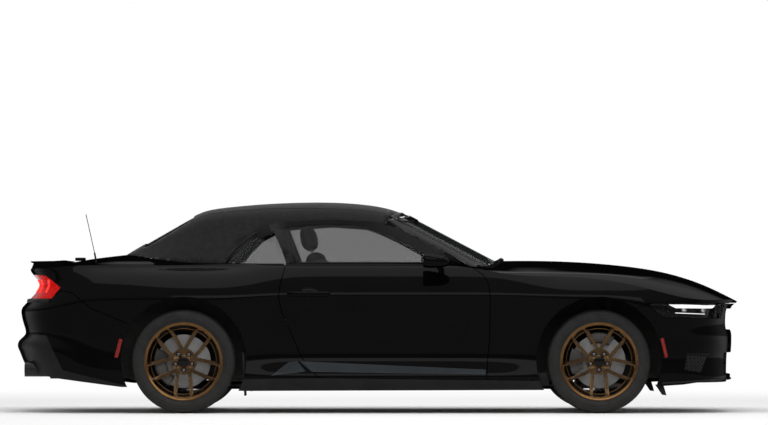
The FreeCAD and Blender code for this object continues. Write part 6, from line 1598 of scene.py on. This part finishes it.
# %% Black bands behind the window edges
BAND_EDGES_PX = {
    "window_band": [((228, 263.0), (239.5, 260.5)), ((234, 246.5), (245, 253.5)),
                    ((253, 231.2), (259, 240.0)), ((269, 225.4), (272, 233.0)),
                    ((287, 221.5), (288, 228.6)), ((331.6, 219.8), (331.6, 225.6)),
                    ((371, 221.6), (367, 228.2)), ((390.5, 226.0), (379, 232.6)),
                    ((408.5, 233.4), (397, 240.6)), ((430.5, 246.4), (419, 252.4)),
                    ((446.0, 256.0), (431, 260.5)), ((465.0, 268.4), (440, 267.5))],
    "pillar_band": [((273.0, 230.5), (286.5, 228.0)), ((277.5, 240.0), (290.0, 237.5)),
                    ((282.0, 251.0), (294.5, 249.5)), ((286.5, 264.0), (299.5, 262.5))]}
BAND_INWARDS = 0.014
BAND_THICKNESS = 0.004
NEARBY_PX = [(0, 0), (-4, 4), (4, 4), (-8, 8), (8, 8), (-14, 10), (14, 10), (-20, 16), (20, 16)]


def band_y(px, py, side):
    """How far out the side windows stand near a pixel."""
    for name in ("door_glass_" + ("right" if side < 0 else "left"), "quarter_glass"):
        for shift_x, shift_y in NEARBY_PX:
            x, z = at(px + shift_x, py + shift_y, -0.72)
            y = glass_out(glass_trees[name], x, z, side)
            if y:
                return y - side * BAND_INWARDS
    return side * 0.70


for word, side in SIDES:
    for name, edges in BAND_EDGES_PX.items():
        points = []
        for pair in edges:
            for px, py in pair:
                y = band_y(px, py, side)
                x, z = at(px, py, -abs(y))
                points.append((x, y, z))
        faces = [(2 * i, 2 * i + 1, 2 * i + 3, 2 * i + 2) for i in range(len(edges) - 1)]
        piece = mesh_piece(name, points, [], faces)
        edit_all()
        bpy.ops.mesh.subdivide(number_cuts=2, smoothness=0.0)
        edit_done()
        modify(piece, "SOLIDIFY", thickness=BAND_THICKNESS, offset=0)
        edit_all()
        bpy.ops.mesh.normals_make_consistent(inside=False)
        edit_done()
        bpy.ops.object.shade_smooth_by_angle(angle=SMOOTH_ANGLE)
        finished(name + "_" + word, [seal_rubber], "root")

# %% [markdown]
# ## Lower doors
# Low on each door, and on the quarter behind it, the skin turns down to the floor and catches its light.
# Each of these strips is a thin plate laid on the skin, in a slightly paler gloss: a painted reflection.

# %% Painted reflections low on the doors
FLARE_PX = {"door": [(299.5, 360.8), (486.0, 369.2), (485.4, 374.0), (312.0, 371.4)],
            "quarter": [(271.0, 375.4), (288.5, 362.0), (297.0, 360.6), (305.5, 371.0)]}
FLARE_PROUD = 0.0014
# The paler colour of these strips is a painted reflection.
flare_painted_reflection = finish("lower_door_painted_reflection", (0.019, 0.022, 0.024), (0.028, 0.032, 0.035), (0.12, 0.2),
                     tone_scale=5.0, Specular_IOR_Level=0.06)
for word, side in SIDES:
    for part, pixels in FLARE_PX.items():
        body = "door_" + word if part == "door" else "root"
        plate_on_skin("lower_flare_reflection_%s_%s" % (part, word), pixels, side, FLARE_PROUD, flare_painted_reflection,
                      body, 14, 0.0006)

# %% [markdown]
# ## Strakes, splitter edge and what closes the shut lines
# Thin plastic fins guide the air past the wheels, caps end the sills, a blade edges the front bumper, and
# rubber lips lie behind the gaps round the bonnet and the boot, so that no light shines through them. Fins
# and caps, and the stand under the spoiler, are outlines read off the photograph and drawn out across the
# car, with rounded edges; the blade and the lips are beads that follow the skin. The intakes in the front
# bumper's corners are plates on the skin, with a hexagon mesh as their finish.

# %% Fins, blade and lips
FINS_PX = {"rear_strake": ([(242.0, 352.5), (244.0, 352.0), (246.8, 394.8), (244.4, 395.2)], 0.86),
           "front_deflector": ([(655.0, 384.0), (663.0, 384.0), (666.2, 394.6), (662.0, 394.2)], 0.80),
           "sill_cap_front": ([(533.0, 372.0), (549.0, 372.0), (549.0, 385.0), (533.0, 385.0)], 0.80),
           "sill_cap_rear": ([(308.0, 368.0), (324.0, 368.0), (324.0, 379.0), (308.0, 379.0)], 0.80)}
FIN_THICKNESS = 0.05
SPLITTER_EDGE_PX = [(662, 382.4), (690, 381.0), (716, 379.2), (731, 378.0)]
LIPS_PX = {"bonnet_lip": [(652, 303.6), (690, 303.5), (731, 303.4)],
           "boot_lip": [(45, 300.5), (60, 300.3)]}


def drawn_across(name, outline, y, width, bevel):
    """A block whose outline of (x, z) corners is drawn out across the car from y, with rounded edges."""
    mesh_piece(name, [(x, y, z) for x, z in outline], [], [tuple(range(len(outline)))])
    edit_all()
    bpy.ops.mesh.extrude_region_move(TRANSFORM_OT_translate={"value": (0, width, 0)})
    bpy.ops.mesh.select_all(action="SELECT")
    bpy.ops.mesh.normals_make_consistent(inside=False)
    bpy.ops.mesh.bevel(offset=bevel, segments=2, affect="EDGES")
    edit_done()
    bpy.ops.object.shade_smooth_by_angle(angle=SMOOTH_ANGLE)


for word, side in SIDES:
    for name, (pixels, y) in FINS_PX.items():
        drawn_across(name, [at(px, py, -y) for px, py in pixels], side * y, side * FIN_THICKNESS, 0.002)
        finished(name + "_" + word, [satin], "root")
    edge = skin_line(SPLITTER_EDGE_PX, -0.004, side)
    line_piece("splitter_edge_" + word, edge, 0.007, satin, "root")
    for name, pixels in LIPS_PX.items():
        points = skin_line(pixels, 0.016, side)
        if len(points) > 3:
            line_piece(name + "_" + word, points, 0.009, seal_rubber, "root", 2)

# %% The lip across the tail, and the spoiler's stand
TAIL_LIP_Z = (0.762, 0.708)
points = []
for i in range(33):
    y = -0.80 + i * 0.05
    hits = [skin_tree.ray_cast(Vector((-3.0, -abs(y), z)), Vector((1, 0, 0)))[0] for z in TAIL_LIP_Z]
    if all(hit and hit.x < -1.9 for hit in hits):
        points.append((sum(hit.x for hit in hits) / 2 + 0.006, y, sum(TAIL_LIP_Z) / 2))
line_piece("tail_lip", points, 0.017, seal_rubber, "root", 2)
STAND_PX = [(39.5, 262.8), (60.0, 262.6), (62.0, 272.0), (40.0, 271.5), (36.4, 270.2)]
STAND_HALF = 0.575
drawn_across("spoiler_stand", [at(px, py, 0.0) for px, py in STAND_PX], -STAND_HALF, STAND_HALF * 2, 0.003)
finished("spoiler_stand", [paint], "boot_lid")

# %% A hexagon mesh finish for the intakes
hex_mesh, tree = new_material("intake_hex_mesh")
place = add_node(tree, "ShaderNodeTexCoord")
cells = add_node(tree, "ShaderNodeTexVoronoi", feature="DISTANCE_TO_EDGE", Scale=55.0, Randomness=0.0)
squeeze = add_node(tree, "ShaderNodeMapping")
squeeze.inputs["Scale"].default_value = (1.0, 1.15, 1.0)
squeeze.inputs["Rotation"].default_value = (0.0, math.radians(45), 0.0)
link(tree, place, "Object", squeeze, "Vector")
link(tree, squeeze, "Vector", cells, "Vector")
wire = add_node(tree, "ShaderNodeMapRange", From_Min=0.08, From_Max=0.16)
link(tree, cells, "Distance", wire, "Value")
# The holes between the wires are near black: painted shade where the real mesh opens onto the dark intake.
colour = two_tones(tree, wire, "Result", (0.012, 0.012, 0.0125, 1), (0.0006, 0.0006, 0.0006, 1))
surface = add_node(tree, "ShaderNodeBsdfPrincipled")
surface.inputs["Specular IOR Level"].default_value = 0.1
link(tree, colour, MIX_COLOUR, surface, "Base Color")
rough = place_group(tree, uneven, Scale=30.0, Low=0.35, High=0.55)
link(tree, rough, "Value", surface, "Roughness")
bump = add_node(tree, "ShaderNodeBump", Strength=0.8, Distance=0.003, invert=True)
link(tree, wire, "Result", bump, "Height")
link(tree, bump, "Normal", surface, "Normal")
output = add_node(tree, "ShaderNodeOutputMaterial")
link(tree, surface, "BSDF", output, "Surface")
INTAKE_PX = [(687.0, 355.0), (707.0, 355.5), (700.5, 371.8), (684.5, 369.6)]
for word, side in SIDES:
    plate_on_skin("side_intake_" + word, INTAKE_PX, side, 0.0015, hex_mesh, "root", 4, 0.0005)
    line_piece("intake_edge_" + word, skin_line([(686.0, 353.6), (709.0, 354.0)], 0.001, side), 0.004, piano,
               "root", 2)

# %% [markdown]
# ## A sensor puck, and the small parts that keep their CAD shapes
# A low round puck stands on the boot lid. It is a cylinder with rounded edges. The aerial, the wipers, the
# spoiler, the splitter, the grilles and the door frames already have their shape and only get their finish.

# %% Puck and small trim
PUCK_PX = (80.5, 260.0)
PUCK_RADIUS = 0.036
PUCK_HEIGHT = 0.022
puck_x, puck_z = at(*PUCK_PX, 0.0)
bpy.ops.mesh.primitive_cylinder_add(vertices=40, radius=PUCK_RADIUS, depth=PUCK_HEIGHT,
                                    location=(puck_x, 0, puck_z + 0.004))
soften(0.006, 3)
finished("sensor_puck", [piano], "boot_lid")
SMALL_TRIM = {"aerial": satin, "wipers": satin, "boot_spoiler": paint, "front_splitter": satin,
              "front_grilles": piano, "door_frames": paint}
for name, material in SMALL_TRIM.items():
    smooth_copy(name, name + "_trim", material)

# %% [markdown]
# ## Seats
# A seat is foam under leather: crowned in the middle, pulled in at its seams. The CAD seat gives the frame's
# size and place. Each cushion starts as a rounded block a little smaller than the real one, is remeshed into
# even small faces, and is then blown up a little by a cloth simulation, which gives a swelling that no
# plain modifier gives. How far it may swell is capped. Each head rest stands on two steel posts.

# %% A padded block swollen by cloth simulation
VOXEL = 0.010
SWELL_FRAMES = 18
SWELL_PRESSURE = 4.0
SWELL_CAP = 0.014


def rounded_block(name, centre, size, tilt=0.0, taper=0.0, bevel=0.03):
    """A block with soft edges, narrower at its top by taper, tilted back about the y axis."""
    bpy.ops.mesh.primitive_cube_add(size=1, location=centre, scale=size, rotation=(0, tilt, 0))
    block = bpy.context.object
    block.name = name
    for vertex in block.data.vertices:
        if vertex.co.z > 0:
            vertex.co.y *= 1 - taper
    bpy.ops.object.transform_apply(location=True, rotation=True, scale=True)
    modify(block, "BEVEL", width=bevel, segments=4)
    return block


def swollen(block, name, material, body, cap=SWELL_CAP):
    """Remeshes a block, swells it with a cloth simulation and shades it smooth."""
    make_active(block)
    modify(block, "REMESH", mode="VOXEL", voxel_size=VOXEL)
    before = [v.co.copy() for v in block.data.vertices]
    bpy.ops.object.modifier_add(type="CLOTH")
    settings = block.modifiers[-1].settings
    settings.use_pressure = True
    settings.uniform_pressure_force = SWELL_PRESSURE
    settings.effector_weights.gravity = 0.0
    for frame_number in range(1, SWELL_FRAMES + 1):
        scene.frame_set(frame_number)
    bpy.ops.object.modifier_apply(modifier=block.modifiers[-1].name)
    scene.frame_set(1)
    for vertex, start in zip(block.data.vertices, before):
        move = vertex.co - start
        if move.length > cap:
            vertex.co = start + move.normalized() * cap
    bpy.ops.object.shade_smooth()
    piece = finished(name, [material], body)
    print(name, len(piece.data.polygons), "faces")
    return piece


# %% Front seats
seat_low, seat_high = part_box("front_seats")
print("front seats box:", [round(v, 3) for v in (*seat_low, *seat_high)])
SEAT_Y = 0.375
# Each cushion: its middle, its size, its tilt, how much narrower its top is, and the radius of its edges.
CUSHIONS = {
    "squab": ((-0.02, 0.0, 0.515), (0.50, 0.34, 0.11), -0.10, 0.0, 0.035),
    "squab_bolster_out": ((-0.02, 0.19, 0.535), (0.50, 0.085, 0.13), -0.10, 0.0, 0.03),
    "squab_bolster_in": ((-0.02, -0.19, 0.535), (0.50, 0.085, 0.13), -0.10, 0.0, 0.03),
    "back": ((-0.345, 0.0, 0.80), (0.10, 0.33, 0.56), -0.30, 0.10, 0.035),
    "back_bolster_out": ((-0.325, 0.185, 0.77), (0.13, 0.085, 0.50), -0.30, 0.05, 0.03),
    "back_bolster_in": ((-0.325, -0.185, 0.77), (0.13, 0.085, 0.50), -0.30, 0.05, 0.03),
    "head_rest": ((-0.455, 0.0, 1.150), (0.095, 0.24, 0.15), -0.20, 0.12, 0.035)}
for word, side in SIDES:
    for part, (centre, size, tilt, taper, bevel) in CUSHIONS.items():
        x, y, z = centre
        block = rounded_block("block", (x, side * (SEAT_Y + y), z), size, tilt, taper, bevel)
        piece = swollen(block, "seat_%s_%s" % (part, word), leather, "root")
        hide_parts("front_seats")
    for post in (-0.05, 0.05):
        y = side * (SEAT_Y + post)
        points = [(-0.425, y, 1.03), (-0.435, y, 1.06), (-0.445, y, 1.10)]
        line_piece("head_rest_post_%s_%s" % (word, "in" if post < 0 else "out"), points, 0.006, bright_steel,
                   "root")

# %% Rear seat
REAR_CUSHIONS = {
    "rear_squab": ((-0.72, 0.27, 0.530), (0.36, 0.47, 0.12), -0.08, 0.0, 0.035),
    "rear_back": ((-0.945, 0.27, 0.70), (0.11, 0.47, 0.36), -0.32, 0.04, 0.035)}
for word, side in SIDES:
    for part, (centre, size, tilt, taper, bevel) in REAR_CUSHIONS.items():
        x, y, z = centre
        block = rounded_block("block", (x, side * y, z), size, tilt, taper, bevel)
        piece = swollen(block, "%s_%s" % (part, word), leather, "root")
        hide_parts("rear_seat")

# %% [markdown]
# ## Dashboard, controls and what lies under the skin
# These parts keep their CAD shapes. Each is copied so that its edges can be smoothed, and it gets the finish
# that such a part has: moulded grain on plastic, cast grain on metal, undercoat below.

# %% Finishes for the parts that keep their shape
KEPT = {
    "dashboard": (cabin_plastic, "interior"), "steering_column": (cabin_plastic, "interior"),
    "steering_wheel": (leather, "interior"), "seat_frames": (undercoat, "chassis"),
    "underbody": (undercoat, "chassis"), "bumper_beam": (undercoat, "chassis"),
    "wheel_arch_liners": (arch_felt, "liner"), "exhaust": (pipe_steel, "steel"),
    "engine": (cast_alloy, "casting"), "radiator": (cast_alloy, "casting"),
    "front_suspension": (undercoat, "chassis"), "rear_suspension": (undercoat, "chassis"),
    "knuckle_front_right": (cast_iron, "casting"), "knuckle_front_left": (cast_iron, "casting"),
    "brake_disc_front_right": (disc_iron, "disc"), "brake_disc_front_left": (disc_iron, "disc"),
    "brake_disc_rear_right": (disc_iron, "disc"), "brake_disc_rear_left": (disc_iron, "disc")}
for name, (material, slot) in KEPT.items():
    smooth_copy(name, name + "_finished", material)
print("kept shapes:", len(KEPT))

# %% The master sheets have done their work
bpy.data.objects.remove(side_sheet)
bpy.data.objects.remove(top_sheet)
